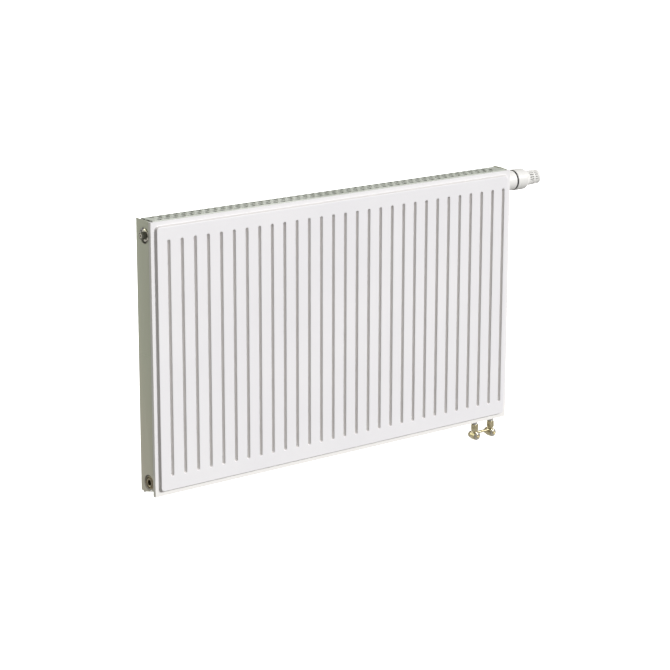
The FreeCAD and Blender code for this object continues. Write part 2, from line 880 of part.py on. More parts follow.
def make_valve_housing():
    body = new_body("valve_housing", **AT_VALVE)
    back = "-(port_face + housing_length)"
    far = "-(seat_offset + seat_wall)"
    points = [
        (back, "0"),
        (back, "tee_radius"),
        ("-port_face", "tee_radius"),
        ("-port_face", "port_bore"),
        ("-seat_offset", "port_bore"),
        ("-seat_offset", "seat_bore"),
        (far, "seat_bore"),
        (far, "port_bore - sheet"),
        (f"{back} + seat_wall", "port_bore - sheet"),
        (f"{back} + seat_wall", "0"),
    ]
    turn(body, points)
    outlet = circles(body, "XZ_Plane", [("-outlet_offset", "0", "outlet_neck")])
    pad(body, outlet, "2 * neck_reach", middle=True)
    pocket(body, circles(body, "XZ_Plane", [("-outlet_offset", "0", "outlet_bore")]))
    chamber = circles(body, "YZ_Plane", [("0", "0", "port_bore - sheet")], far)
    pocket(body, chamber, f"port_face + housing_length - seat_offset - 2 * seat_wall")
    socket_end = "-(tee_radius + socket_length)"
    socket = circles(body, "XY_Plane", [("-leg_inset", "0", "socket_radius")], socket_end)
    pad(body, socket, "tee_radius + socket_length - port_bore")
    mouth = circles(body, "XY_Plane", [("-leg_inset", "0", "riser_radius + fixed_gap")], socket_end)
    pocket(body, mouth, "socket_depth", reverse=True)
    passage = circles(body, "XY_Plane", [("-leg_inset", "0", "riser_radius - riser_wall")], socket_end)
    pocket(body, passage, "tee_radius + socket_length - washer_radius - sheet", reverse=True)
    insert_bore = circles(body, "YZ_Plane", [("0", "0", "port_bore")], "-port_face")
    pocket(body, insert_bore, "seat_offset - port_face")
    keep(body)


def make_insert():
    """Screw-in insert: guide, spring chamber, seal groove, key rim and the thread that carries the head."""
    shank = "port_bore - fixed_gap"
    groove = "port_bore - 2 * oring_wire - 2 * fixed_gap"
    key_front = "-0.5 * fixed_gap"
    points = [
        ("-insert_tail", "spindle_radius + running_gap"),
        ("-insert_tail", shank),
        ("-(port_face + 2.5 * oring_wire)", shank),
        ("-(port_face + 2.5 * oring_wire)", groove),
        ("-port_face", groove),
        ("-port_face", "insert_neck"),
        ("head_thread_start", "insert_neck"),
        ("head_thread_start", "head_thread"),
        ("head_thread_end", "head_thread"),
        ("head_thread_end", "gland_radius"),
        ("gland_start", "gland_radius"),
        ("gland_start", "spring_chamber"),
        ("-spring_floor", "spring_chamber"),
        ("-spring_floor", "spindle_radius + running_gap"),
    ]
    body = turned_piece("valve_insert_body", points, **AT_VALVE)
    key = loop(body, "YZ_Plane", hexagon_points("2 * insert_key"), "-port_face")
    pad(body, key, f"port_face + ({key_front})")
    bore = circles(body, "YZ_Plane", [("0", "0", "spring_chamber")], key_front)
    pocket(body, bore, f"port_face + ({key_front})")
    keep(body)
    keep(oring("insert_oring", "-(port_face + 1.25 * oring_wire)", "port_bore - oring_wire - fixed_gap",
               "oring_wire - fixed_gap / 2", **AT_VALVE))

    chamber_start, chamber_end = "gland_start + seat_wall / 1.5", "head_thread_end - seat_wall"
    chamber = "pin_radius + running_gap + 2 * oring_wire + fixed_gap"
    hole = "pin_radius + running_gap"
    outer = "gland_radius - fixed_gap"
    points = [
        ("gland_start", hole),
        (chamber_start, hole),
        (chamber_start, chamber),
        (chamber_end, chamber),
        (chamber_end, hole),
        ("head_thread_end", hole),
        ("head_thread_end", outer),
        ("gland_start", outer),
    ]
    keep(turned_piece("gland_nut", points, **AT_VALVE))
    keep(oring("gland_oring", f"({chamber_start} + {chamber_end}) / 2", f"{hole} + oring_wire",
               "oring_wire - fixed_gap", **AT_VALVE))


def make_valve_stem():
    """What slides inside the insert: spindle with its collar, cone, washer and the pin in the gland."""
    collar_end = "-(collar_offset - collar_thick)"
    cone_back = "-(seat_stop - washer_thick)"
    points = [
        ("-(seat_stop - 0.2)", "0"),
        ("-(seat_stop - 0.2)", "tip_radius"),
        (f"{cone_back} + cone_thick", "tip_radius"),
        (f"{cone_back} + cone_thick", "spindle_radius"),
        ("-collar_offset", "spindle_radius"),
        ("-collar_offset", "collar_radius"),
        (collar_end, "collar_radius"),
        (collar_end, "spindle_radius"),
        ("-spindle_end", "spindle_radius"),
        ("-spindle_end", "0"),
    ]
    keep(turned_piece("valve_spindle", points, **AT_VALVE))
    bore = "tip_radius + fixed_gap / 2"
    cone = tube_points(cone_back, f"{cone_back} + cone_thick", bore, "cone_radius")
    washer = tube_points("-seat_stop", cone_back, bore, "washer_radius")
    keep(turned_piece("valve_cone", cone, **AT_VALVE))
    keep(turned_piece("cone_washer", washer, **AT_VALVE))
    keep(turned_piece("gland_pin", box_points("-spindle_end", "pin_reach", "0", "pin_radius"), **AT_VALVE))
    coil("return_spring", "-(spring_floor - spring_gap)", "-(collar_offset + spring_gap)", "return_radius",
         "return_wire", "return_turns", **AT_VALVE)


# ---------------------------------------------------------------- thermostatic head


def make_head_fixed():
    """Union nut, base and index ring, which stay still."""
    nut_end = "head_thread_end + flange_thick + nut_lip + fixed_gap"
    shoulder = "head_thread_end + flange_thick + fixed_gap"
    points = [
        ("nut_start", "head_thread + fixed_gap"),
        (shoulder, "head_thread + fixed_gap"),
        (shoulder, "sleeve_radius + handle_gap"),
        (nut_end, "sleeve_radius + handle_gap"),
        (nut_end, "nut_radius"),
        ("nut_start", "nut_radius"),
    ]
    keep(turned_piece("head_union_nut", points, **AT_VALVE))

    web = f"{nut_end} + handle_gap"
    inside = "base_radius - base_wall"
    flange_end = "head_thread_end + flange_thick"
    points = [
        ("head_thread_end", "sleeve_bore"),
        ("sleeve_end", "sleeve_bore"),
        ("sleeve_end", "sleeve_radius"),
        (f"{web} + base_web", "sleeve_radius"),
        (f"{web} + base_web", inside),
        ("base_end", inside),
        ("base_end", "base_radius"),
        ("base_start + handle_gap", "base_radius"),
        ("base_start", "base_radius - handle_gap"),
        ("base_start", inside),
        (web, inside),
        (web, "sleeve_radius"),
        (flange_end, "sleeve_radius"),
        (flange_end, "base_flange"),
        ("head_thread_end", "base_flange"),
    ]
    keep(turned_piece("head_base", points, **AT_VALVE))
    ring = tube_points("base_end", "base_end + ring_width", "sleeve_radius + handle_gap", "ring_radius")
    keep(turned_piece("head_index_ring", ring, **AT_VALVE))


def make_handle():
    """The grip that turns: collar, taper, slotted grip, a plain bearing and a screwed hub inside."""
    body = new_body("head_handle", **AT_VALVE)
    inner_collar = "collar_size - handle_wall"
    grip_in = "grip_start_radius - handle_wall"
    bearing = "sleeve_radius + running_gap"
    hub_out = f"{bearing} + hub_wall"
    screw_out = "sleeve_bore + hub_wall"
    cap_seat = "handle_end - cap_thick"
    ledge = f"{cap_seat} - ledge_width"

    def wall_at(x):
        return f"{grip_in} - grip_fall * ({x} - grip_start)"

    points = [
        ("handle_start", "collar_size"),
        ("collar_end", "collar_size"),
        ("grip_start", "grip_start_radius"),
        ("handle_end - handle_chamfer", "grip_end_radius"),
        ("handle_end", "grip_end_radius - handle_chamfer"),
        ("handle_end", "cap_radius + fixed_gap"),
        (cap_seat, "cap_radius + fixed_gap"),
        (cap_seat, "cap_radius - ledge_width"),
        (ledge, "cap_radius - ledge_width"),
        (ledge, wall_at(ledge)),
        ("grip_start + 1", wall_at("grip_start + 1")),
        ("grip_start + 1", screw_out),
        ("screw_end", screw_out),
        ("screw_end", "sleeve_bore"),
        ("screw_start", "sleeve_bore"),
        ("screw_start", screw_out),
        ("screw_web", screw_out),
        ("screw_web", f"{grip_in} + handle_gap"),
        ("collar_end - handle_gap", inner_collar),
        ("hub_web + web_thick", inner_collar),
        ("hub_web + web_thick", hub_out),
        ("hub_end", hub_out),
        ("hub_end", bearing),
        ("hub_start", bearing),
        ("hub_start", hub_out),
        ("hub_web", hub_out),
        ("hub_web", inner_collar),
        ("handle_start", inner_collar),
    ]
    turn(body, points)
    sketch = new_sketch(body, "XY_Plane", "cap_radius")
    for start, length in (("first_slot", "first_slot_length"), ("second_slot", "second_slot_length")):
        add_loop(sketch, box_points(start, f"{start} + {length}", "-slot_gap / 2", "slot_gap / 2"))
    slots = pocket(body, sketch, "collar_size", reverse=True)
    doc.recompute()
    pattern = body.newObject("PartDesign::PolarPattern", "head_handle_slots")
    pattern.Originals = [slots]
    pattern.Axis = (sketch, ["H_Axis"])
    pattern.Angle = 360
    pattern.setExpression("Occurrences", formula("slot_count"))
    body.Tip = pattern
    keep(body)
    keep(turned_piece("head_end_cap", box_points(cap_seat, "handle_end", "0", "cap_radius"), **AT_VALVE))


def make_sensor():
    """The sensor in its sliding carrier, with the overrun spring behind it and the plunger in front."""
    inner = "carrier_radius - carrier_wall"
    wall = "carrier_end - carrier_wall"
    points = [
        ("carrier_start", "lip_radius"),
        ("cartridge_start", "lip_radius"),
        ("cartridge_start", inner),
        (wall, inner),
        (wall, "0"),
        ("carrier_end", "0"),
        ("carrier_end", "carrier_radius"),
        ("carrier_start", "carrier_radius"),
    ]
    keep(turned_piece("sensor_carrier", points, **AT_VALVE))
    body = box_points("cartridge_start", "cartridge_end", "0", "cartridge_radius")
    keep(turned_piece("sensor_cartridge", body, **AT_VALVE))
    plunger = box_points("pin_reach", "cartridge_start", "0", "plunger_radius")
    keep(turned_piece("plunger", plunger, **AT_VALVE))
    coil("overrun_spring", "cartridge_end + spring_gap", f"{wall} - spring_gap", "overrun_radius",
         "overrun_wire", "overrun_turns", **AT_VALVE)


# ---------------------------------------------------------------- riser and bottom connections

AT_LEGS = {"x": "riser_x - leg_spacing / 2", "y": "middle_y", "z": "-half_height"}
LEGS = ("-leg_spacing / 2", "leg_spacing / 2")


def make_connection_block():
    """Bottom right distributor: return from both panels on its left leg, supply to the riser."""
    body = new_body("connection_block", **AT_LEGS)
    half_x = "leg_spacing / 2 + block_end"
    low, high = "port_rise - block_half_height", "port_rise + block_half_height"
    plan = box_points(f"-({half_x})", half_x, "-block_half_depth", "block_half_depth")
    pad(body, loop(body, "XY_Plane", plan, low), "2 * block_half_height")
    nipples = circles(body, "XY_Plane", [(x, "0", "nipple_radius") for x in LEGS], "-nipple_reach")
    pad(body, nipples, f"nipple_reach + {low}")
    neck = circles(body, "XZ_Plane", [(LEGS[0], "port_rise", "outlet_neck")])
    pad(body, neck, "2 * neck_reach", middle=True)
    boss = circles(body, "XY_Plane", [(LEGS[1], "0", "socket_radius")], high)
    pad(body, boss, "socket_length")
    pocket(body, circles(body, "XZ_Plane", [(LEGS[0], "port_rise", "outlet_bore")]))
    returns = circles(body, "XY_Plane", [(LEGS[0], "0", "nipple_bore")], "-nipple_reach")
    pocket(body, returns, "nipple_reach + port_rise", reverse=True)
    pocket(body, circles(body, "XY_Plane", [(LEGS[1], "0", "nipple_bore")]))
    top = f"{high} + socket_length"
    socket = circles(body, "XY_Plane", [(LEGS[1], "0", "riser_radius + fixed_gap")], top)
    pocket(body, socket, "socket_depth")
    keep(body)

    tube = new_body("riser_tube", "riser_x", "middle_y", f"{top} - socket_depth - half_height")
    reach = f"height - port_drop - tee_radius - socket_length + socket_depth - ({top} - socket_depth)"
    pad(tube, circles(tube, "XY_Plane", [("0", "0", "riser_radius")]), reach)
    pocket(tube, circles(tube, "XY_Plane", [("0", "0", "riser_radius - riser_wall")]))
    keep(tube)


# ---------------------------------------------------------------- shut-off block


def both_legs(label, make):
    """A node of two equal solids, one on each leg."""
    group = doc.addObject("Part::Compound", label)
    group.Links = [make(f"{label}_{side}", x) for side, x in zip(("left", "right"), LEGS)]
    keep(group, label)


def leg_body(label, x, z=0):
    return new_body(label, f"riser_x - leg_spacing / 2 + ({x})", "middle_y", f"-half_height + ({z})")


def make_block_body():
    body = new_body("h_block_body", **AT_LEGS)
    axis_z = "-barrel_drop"
    barrels = circles(body, "XZ_Plane", [(x, axis_z, "barrel_radius") for x in LEGS], "-barrel_back")
    pad(body, barrels, "barrel_back + barrel_front")
    bridge = circles(body, "YZ_Plane", [("0", f"{axis_z} + bridge_lift", "bridge_radius")])
    pad(body, bridge, "leg_spacing", middle=True)
    collar_end = "-(tail_top + tail_collar)"
    leg_top = "-(union_end + handle_gap)"
    collars = circles(body, "XY_Plane", [(x, "0", "nipple_radius") for x in LEGS], collar_end)
    necks = circles(body, "XY_Plane", [(x, "0", "tail_radius") for x in LEGS], axis_z)
    legs = circles(body, "XY_Plane", [(x, "0", "leg_radius") for x in LEGS], axis_z)
    pad(body, legs, f"barrel_drop + {leg_top}")
    pad(body, necks, f"barrel_drop + {collar_end} + tail_collar / 2")
    pad(body, collars, "tail_collar")
    threads = circles(body, "XZ_Plane", [(x, axis_z, "pipe_thread") for x in LEGS], "-barrel_back")
    pad(body, threads, "pipe_thread_length", reverse=True)
    outlet = "-(barrel_back + pipe_thread_length)"
    outlets = circles(body, "XZ_Plane", [(x, axis_z, "nipple_bore") for x in LEGS], outlet)
    pocket(body, outlets, "barrel_back + pipe_thread_length", reverse=True)
    chambers = circles(body, "XZ_Plane", [(x, axis_z, "chamber_radius") for x in LEGS], "-chamber_back")
    pocket(body, chambers, "barrel_front + chamber_back - bonnet_depth", reverse=True)
    seat = "bonnet_radius + fixed_gap"
    mouths = circles(body, "XZ_Plane", [(x, axis_z, seat) for x in LEGS], "barrel_front")
    pocket(body, mouths, "bonnet_depth")
    bores = circles(body, "XY_Plane", [(x, "0", "nipple_bore") for x in LEGS], "-tail_top")
    pocket(body, bores, "barrel_drop - tail_top")
    keep(body)


def make_union(label, x):
    body = leg_body(label, x, "-union_end")
    hexagon = loop(body, "XY_Plane", hexagon_points("union_key"))
    pad(body, hexagon, "union_length")
    pocket(body, circles(body, "XY_Plane", [("0", "0", "tail_radius + 2 * fixed_gap")]))
    thread = circles(body, "XY_Plane", [("0", "0", "nipple_radius + fixed_gap")], "union_length")
    pocket(body, thread, "union_length - union_lip")
    return body


def make_seal(label, x):
    body = leg_body(label, x, "-tail_top")
    pad(body, circles(body, "XY_Plane", [("0", "0", "nipple_radius - fixed_gap")]), "seal_thick")
    pocket(body, circles(body, "XY_Plane", [("0", "0", "nipple_bore")]))
    return body


def make_bonnet(label, x):
    """Front gland of a shut-off: thread, thin disc and key, with the seal's groove in its bore."""
    body = leg_body(label, x, "-barrel_drop")
    hole = "stem_radius + running_gap"
    face = "barrel_front"
    groove_end, groove_start = "barrel_front - oring_wire", "barrel_front - 3 * oring_wire"
    groove = f"{hole} + 2 * oring_wire"
    disc_front = f"{face} + disc_thick"
    points = [
        (f"-({face} - bonnet_depth)", hole),
        (f"-({face} - bonnet_depth)", "bonnet_radius"),
        (f"-({face})", "bonnet_radius"),
        (f"-({face})", "bonnet_disc"),
        (f"-({disc_front})", "bonnet_disc"),
        (f"-({disc_front})", hole),
        (f"-({groove_end})", hole),
        (f"-({groove_end})", groove),
        (f"-({groove_start})", groove),
        (f"-({groove_start})", hole),
    ]
    turn(body, points, plane="YZ_Plane")
    key = new_sketch(body, "XZ_Plane", disc_front)
    add_loop(key, hexagon_points("bonnet_key"))
    pad(body, key, "bonnet_key_length")
    rod = circles(body, "XZ_Plane", [("0", "0", hole)], f"{disc_front} + bonnet_key_length")
    pocket(body, rod, "bonnet_key_length")
    return body


def make_stem_seal(label, x):
    spot = {"x": f"riser_x - leg_spacing / 2 + ({x})", "y": "middle_y", "z": "-half_height - barrel_drop"}
    return oring(label, "-(barrel_front - 2 * oring_wire)", "stem_radius + running_gap + oring_wire",
                 "oring_wire - fixed_gap", plane="YZ_Plane", **spot)


def make_seat(label, x):
    """Plastic ring behind a ball, coned to its surface."""
    body = leg_body(label, x, "-barrel_drop")
    points = [
        ("seat_front", "seat_cone"),
        ("seat_throat", "nipple_bore"),
        ("chamber_back", "nipple_bore"),
        ("chamber_back", "chamber_radius - fixed_gap"),
        ("seat_front", "chamber_radius - fixed_gap"),
    ]
    turn(body, points, plane="YZ_Plane")
    return body


def make_ball(name, x):
    """Ball with an elbow passage, up to the leg and back to the pipe, and its slotted spindle."""
    ball = leg_body(f"ball_{name}", x, "-barrel_drop")
    sketch = new_sketch(ball, "YZ_Plane")
    radius = value("ball_radius")
    circle = Part.Circle(FreeCAD.Vector(), FreeCAD.Vector(0, 0, 1), radius)
    arc = Part.ArcOfCircle(circle, 0, 3.141592653589793)
    sketch.addGeometry(arc)
    sketch.addGeometry(Part.LineSegment(FreeCAD.Vector(-radius, 0, 0), FreeCAD.Vector(radius, 0, 0)))
    sketch.addConstraint(Sketcher.Constraint("Coincident", 0, 3, -1, 1))
    sketch.addConstraint(Sketcher.Constraint("Coincident", 0, 2, 1, 1))
    sketch.addConstraint(Sketcher.Constraint("Coincident", 1, 2, 0, 1))
    sketch.addConstraint(Sketcher.Constraint("PointOnObject", 0, 1, -1))
    sketch.addConstraint(Sketcher.Constraint("PointOnObject", 0, 2, -1))
    index = sketch.addConstraint(Sketcher.Constraint("Radius", 0, radius))
    sketch.setExpression(f"Constraints[{index}]", formula("ball_radius"))
    whole = ball.newObject("PartDesign::Revolution", f"{ball.Name}_turn")
    whole.Profile = sketch
    whole.ReferenceAxis = (sketch, ["H_Axis"])
    whole.Angle = 360
    flat = circles(ball, "XZ_Plane", [("0", "0", "ball_radius")], "ball_radius")
    pocket(ball, flat, "ball_radius - ball_flat")
    rear = circles(ball, "XZ_Plane", [("0", "0", "nipple_bore")], "-ball_radius")
    pocket(ball, rear, "ball_radius", reverse=True)
    upward = circles(ball, "XY_Plane", [("0", "0", "nipple_bore")], "ball_radius")
    pocket(ball, upward, "ball_radius")
    keep(ball)

    spindle = leg_body(f"spindle_{name}", x, "-barrel_drop")
    neck_end = "barrel_front + disc_thick + bonnet_key_length + handle_gap"
    front = f"{neck_end} + stem_head_length"
    points = [
        (f"-({front})", "0"),
        (f"-({front})", "stem_head - handle_gap"),
        (f"-({front} - handle_gap)", "stem_head"),
        (f"-({neck_end})", "stem_head"),
        (f"-({neck_end})", "stem_radius"),
        ("-ball_flat", "stem_radius"),
        ("-ball_flat", "0"),
    ]
    turn(spindle, points, plane="YZ_Plane")
    slot = box_points("-stem_head", "stem_head", "-slot_width / 2", "slot_width / 2")
    pocket(spindle, loop(spindle, "XZ_Plane", slot, front), "stem_slot_depth")
    keep(spindle)


def make_shutoff():
    make_block_body()
    both_legs("union_nuts", make_union)
    both_legs("flat_seals", make_seal)
    both_legs("shutoff_bonnets", make_bonnet)
    both_legs("shutoff_orings", make_stem_seal)
    both_legs("ball_seats", make_seat)
    for name, x in zip(("left", "right"), LEGS):
        make_ball(name, x)


# ---------------------------------------------------------------- hanging lugs


def make_lugs():
    """Hat-shaped lugs welded over a groove of the rear panel, each with a slot for the wall hook."""
    section = [
        ("-(lug_web / 2 + lug_foot)", "-lug_depth"),
        ("lug_sheet - lug_web / 2", "-lug_depth"),
        ("lug_sheet - lug_web / 2", "-lug_sheet"),
        ("lug_web / 2 - lug_sheet", "-lug_sheet"),
        ("lug_web / 2 - lug_sheet", "-lug_depth"),
        ("lug_web / 2 + lug_foot", "-lug_depth"),
        ("lug_web / 2 + lug_foot", "lug_sheet - lug_depth"),
        ("lug_web / 2", "lug_sheet - lug_depth"),
        ("lug_web / 2", "0"),
        ("-lug_web / 2", "0"),
        ("-lug_web / 2", "lug_sheet - lug_depth"),
        ("-(lug_web / 2 + lug_foot)", "lug_sheet - lug_depth"),
    ]
    for row, z in (("top", "lug_row"), ("bottom", "-lug_row")):
        for side, x in (("left", "-lug_x"), ("right", "lug_x")):
            body = new_body(f"hanging_lug_{row}_{side}", x, 0, z)
            pad(body, loop(body, "XY_Plane", section), "lug_height", middle=True)
            sketch = new_sketch(body, "XZ_Plane")
            add_slot(sketch, "0", "0", "lug_slot_length", "lug_slot_width")
            pocket(body, sketch, "lug_sheet", reverse=True)
            keep(body)


def check_document():
    """Stops on any object that failed or any sub-part without a valid solid."""
    doc.recompute()
    for item in doc.Objects:
        if "Invalid" in item.State or "Error" in item.State:
            raise RuntimeError(f"{item.Label} failed: {item.State}")
    for item in parts:
        if item.Shape.isNull() or not item.Shape.isValid() or not item.Shape.Solids:
            raise RuntimeError(f"{item.Label} has no valid solid")


def write_parts():
    os.makedirs("parts", exist_ok=True)
    for item in parts:
        item.Shape.exportStep(os.path.join("parts", f"{item.Label}.step"))


fill_sheet()
make_panels()
make_convector()
make_grille()
make_cover("-1", "left")
make_cover("1", "right")
make_clips()
make_tee("corner_tee_top_left", "top_port_z")
make_tee("corner_tee_bottom_left", "bottom_port_z")
make_blind_plug()
make_vent()
make_valve_housing()
make_insert()
make_valve_stem()
make_head_fixed()
make_handle()
make_sensor()
make_connection_block()
make_shutoff()
make_lugs()
check_document()
write_parts()
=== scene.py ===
"""Looks of the panel radiator: pressings, grille, covers, thermostatic head and brass shut-off block.

Sizes and outlines are in millimetres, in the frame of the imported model.
Meshes, lights and the camera are in metres.
"""

import json
import math

import bmesh
import bpy
import numpy as np
from mathutils import Matrix, Vector

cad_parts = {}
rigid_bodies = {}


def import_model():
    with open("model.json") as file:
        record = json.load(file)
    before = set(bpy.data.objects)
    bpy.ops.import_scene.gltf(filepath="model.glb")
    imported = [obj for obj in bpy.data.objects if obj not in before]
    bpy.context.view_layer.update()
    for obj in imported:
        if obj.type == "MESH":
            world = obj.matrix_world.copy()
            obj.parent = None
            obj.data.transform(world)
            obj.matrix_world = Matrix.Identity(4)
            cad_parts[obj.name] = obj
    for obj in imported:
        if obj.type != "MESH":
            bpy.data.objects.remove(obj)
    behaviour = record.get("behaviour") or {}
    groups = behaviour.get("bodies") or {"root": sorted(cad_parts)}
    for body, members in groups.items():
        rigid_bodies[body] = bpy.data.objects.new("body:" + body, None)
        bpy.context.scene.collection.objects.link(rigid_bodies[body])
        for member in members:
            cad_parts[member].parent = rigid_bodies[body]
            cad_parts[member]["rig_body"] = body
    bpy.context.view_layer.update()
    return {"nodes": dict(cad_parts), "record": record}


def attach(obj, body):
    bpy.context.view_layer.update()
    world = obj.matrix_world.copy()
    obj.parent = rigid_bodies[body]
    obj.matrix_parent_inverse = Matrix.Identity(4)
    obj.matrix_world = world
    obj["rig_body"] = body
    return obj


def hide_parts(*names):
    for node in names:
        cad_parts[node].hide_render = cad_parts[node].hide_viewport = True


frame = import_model()
NODES = frame["nodes"]
SLOT_OF = {part["node"]: part["material_slot"] for part in frame["record"]["subparts"]}
MM = 0.001

# ---------------------------------------------------------------- sizes, in millimetres

# Body: length, heights, the middle line between the panels and the heights of the corner blocks
LENGTH, PANEL_TOP, PANEL_BOTTOM, COVER_TOP = 1000.0, 297.5, -300.0, 300.0
HALF = LENGTH / 2
MIDDLE, TOP_PORT, BOTTOM_PORT = -41.0, 267.0, -273.0

# Pressings: sheet, height of the raised face, slope of its walls, rim, grooves and side flanges
SHEET, RISE, SLOPE = 1.2, 6.5, math.tan(math.radians(25))
WALL_RUN = RISE * SLOPE
RIM_WIDTH, CORNER_RADIUS = 9.0, 10.0
GROOVE_PITCH, GROOVE_COUNT, GROOVE_FLOOR = 33.333333, 29, 1.0
GROOVE_TOP, GROOVE_BOTTOM = 39.5, 41.5
FRONT_GROOVE, REAR_GROOVE = 40.5, 33.333
FRONT_SEAM, REAR_SEAM, REAR_INSET = -64.3, -17.7, 2.3
FRONT_RIM = FRONT_SEAM - SHEET
FRONT_FACE = FRONT_RIM - RISE
FLANGE_BEND, FLANGE_DEPTH = 1.4, 8.2

# A pressing's points: distances from a groove's middle line, and from the panel's edge across the step
ACROSS_GROOVE = (0, 0.5, 0.9, 1.3, 1.8, 2.4, 3.0, 3.5, 3.9, 4.3, 4.8, 5.4)
FROM_RIM = (-2, -1, -0.5, 0, 0.5, 1, 1.6, 2.2, 2.8, 3.3, 3.8, 4.4, 6, 8, 10.5, 13)
ACROSS_STEP = [RIM_WIDTH + d for d in FROM_RIM]

# Grille: ends, half width, rolled edge, bent-down side, and the pitch and size of its holes
GRILLE_LEFT, GRILLE_RIGHT, GRILLE_HALF, GRILLE_ROLL, GRILLE_DROP = -493.0, 488.0, 21.8, 0.8, 7
HOLE_PITCH, ROW_PITCH, HOLE_COUNT, HOLE_LENGTH, HOLE_WIDTH = 20.0, 14, 47, 14.0, 11.0
HOLE_LIP = ((0.9, 0.0), (0.35, 0.12), (0.05, 0.4), (0.0, 0.8), (0.0, 1.5))
HOLE_SEGMENTS = 32

# Plugs, along their axis from the panel's end: shank, seal groove, rim, key recess, vent, nozzle and spout
SHANK_END, SHANK_RADIUS, SEAL_START, SEAL_RADIUS = -16.5, 10.4, -7, 8.3
PLUG_RIM, KEY_RADIUS, KEY_DEPTH, VENT_KEY, NOZZLE_RADIUS, SPOUT_OUT = 15.2, 7, 7.5, 25, 8.5, 4.1

# Side covers: front and back edges, sheet, lip, bottom, seam and port opening
COVER_FRONT, COVER_BACK, COVER_SHEET, COVER_LIP = -57.0, -10.0, 1.0, 4.0
COVER_BOTTOM, LOWER_COVER_TOP, UPPER_COVER_BOTTOM = -296.0, 7.6, 8.0
PORT_OPENING = 17.5

# Thermostatic head, along its axis from the panel's end
BASE_END, BASE_RADIUS, RING_END, RING_RADIUS = 26, 23, 29, 23.9
HANDLE_START, HANDLE_END, HANDLE_WALL = 29.3, 106.5, 1.9
COLLAR_START, COLLAR_END, COLLAR_RADIUS = 31, 56.5, 24.6
SHOULDER_START, SHOULDER_RUN, SHOULDER_DROP = 57.5, 12.5, 6.9
GRIP_START, GRIP_RADIUS, GRIP_TAPER = 70.0, 17.6, 0.0383
SLOT_ROWS, SLOT_CORNER, SLOTS_AROUND = ((71.5, 84.5), (89.0, 99.0)), 0.25, 20

# Shut-off block
LEG_X, BARREL_Z = (425.5, 475.5), -340.3
BARREL_FRONT, BARREL_BACK, BARREL_RADIUS = 9.5, 6.5, 10
LEG_RADIUS, BRIDGE_RADIUS, BRIDGE_LIFT, CASTING_VOXEL = 6.4, 3.4, 6, 0.4
TAIL_THREAD, TAIL_BORE, TAIL_LENGTH, TAIL_PITCH, TAIL_DEPTH = 8.33, 4.0, 8, 1.337, 0.85
NUT_TOP, NUT_END, NUT_KEY, BONNET_KEY = -12.0, -28.0, 16, 14
STEM_RADIUS, STEM_HEAD, STEM_END, STEM_BORE = 3, 4.2, 15.0, 3.08

# Hanging lugs: places, height, and the slot's radius and shift
LUG_X, LUG_Z, LUG_HALF = 366.667, 230, 20
LUG_SLOT_RADIUS, LUG_SLOT_SHIFT = 4.5, 5.5

# Ground: its height and half its width
FLOOR_Z, FLOOR_HALF = -351, 30000


# ---------------------------------------------------------------- materials


def add_node(tree, kind, inputs=None, **settings):
    """A shader node with its settings and inputs; an input is a value or another node's output."""
    node = tree.nodes.new(kind)
    for name, value in settings.items():
        setattr(node, name, value)
    for name, value in (inputs or {}).items():
        if isinstance(value, bpy.types.NodeSocket):
            tree.links.new(value, node.inputs[name])
        else:
            node.inputs[name].default_value = value
    return node


def object_coords(tree, stretch=(1, 1, 1)):
    coords = add_node(tree, "ShaderNodeTexCoord")
    mapping = add_node(tree, "ShaderNodeMapping", {"Vector": coords.outputs["Object"], "Scale": stretch})
    return mapping.outputs["Vector"]


def coordinate(tree, coords, axis):
    return add_node(tree, "ShaderNodeSeparateXYZ", {"Vector": coords}).outputs[axis]


def noise(tree, coords, scale, detail=3.0, rough=0.55):
    inputs = {"Vector": coords, "Scale": scale, "Detail": detail, "Roughness": rough}
    return add_node(tree, "ShaderNodeTexNoise", inputs).outputs["Fac"]


def remap(tree, value, low, high, start=0.3, end=0.7):
    """A grey value spread from start..end to low..high."""
    inputs = {"Value": value, "From Min": start, "From Max": end, "To Min": low, "To Max": high}
    return add_node(tree, "ShaderNodeMapRange", inputs).outputs["Result"]


def two_tone(tree, value, first, second):
    """The first colour where the value is low and the second where it is high."""
    ramp = add_node(tree, "ShaderNodeValToRGB", {"Fac": value})
    for element, position, colour in zip(ramp.color_ramp.elements, (0.35, 0.65), (first, second)):
        element.position = position
        element.color = (*colour, 1)
    return ramp.outputs["Color"]


def blended(tree, amount, base, over):
    """A colour output blended towards another one, or towards a fixed colour, by a grey value."""
    factor, first, second = 0, 6, 7
    node = add_node(tree, "ShaderNodeMix", {factor: amount, first: base}, data_type="RGBA")
    if isinstance(over, bpy.types.NodeSocket):
        tree.links.new(over, node.inputs[second])
    else:
        node.inputs[second].default_value = (*over, 1)
    return node.outputs[2]


def bump(tree, height, strength, distance, below=None):
    inputs = {"Height": height, "Strength": strength, "Distance": distance}
    if below is not None:
        inputs["Normal"] = below
    return add_node(tree, "ShaderNodeBump", inputs).outputs["Normal"]


def start_material(name, **constants):
    """A material with its Principled shader; the constants are set on the shader's own sockets."""
    made = bpy.data.materials.new(name)
    made.use_nodes = True
    shader = made.node_tree.nodes["Principled BSDF"]
    for socket, value in constants.items():
        shader.inputs[socket.replace("_", " ")].default_value = value
    return made, made.node_tree, shader


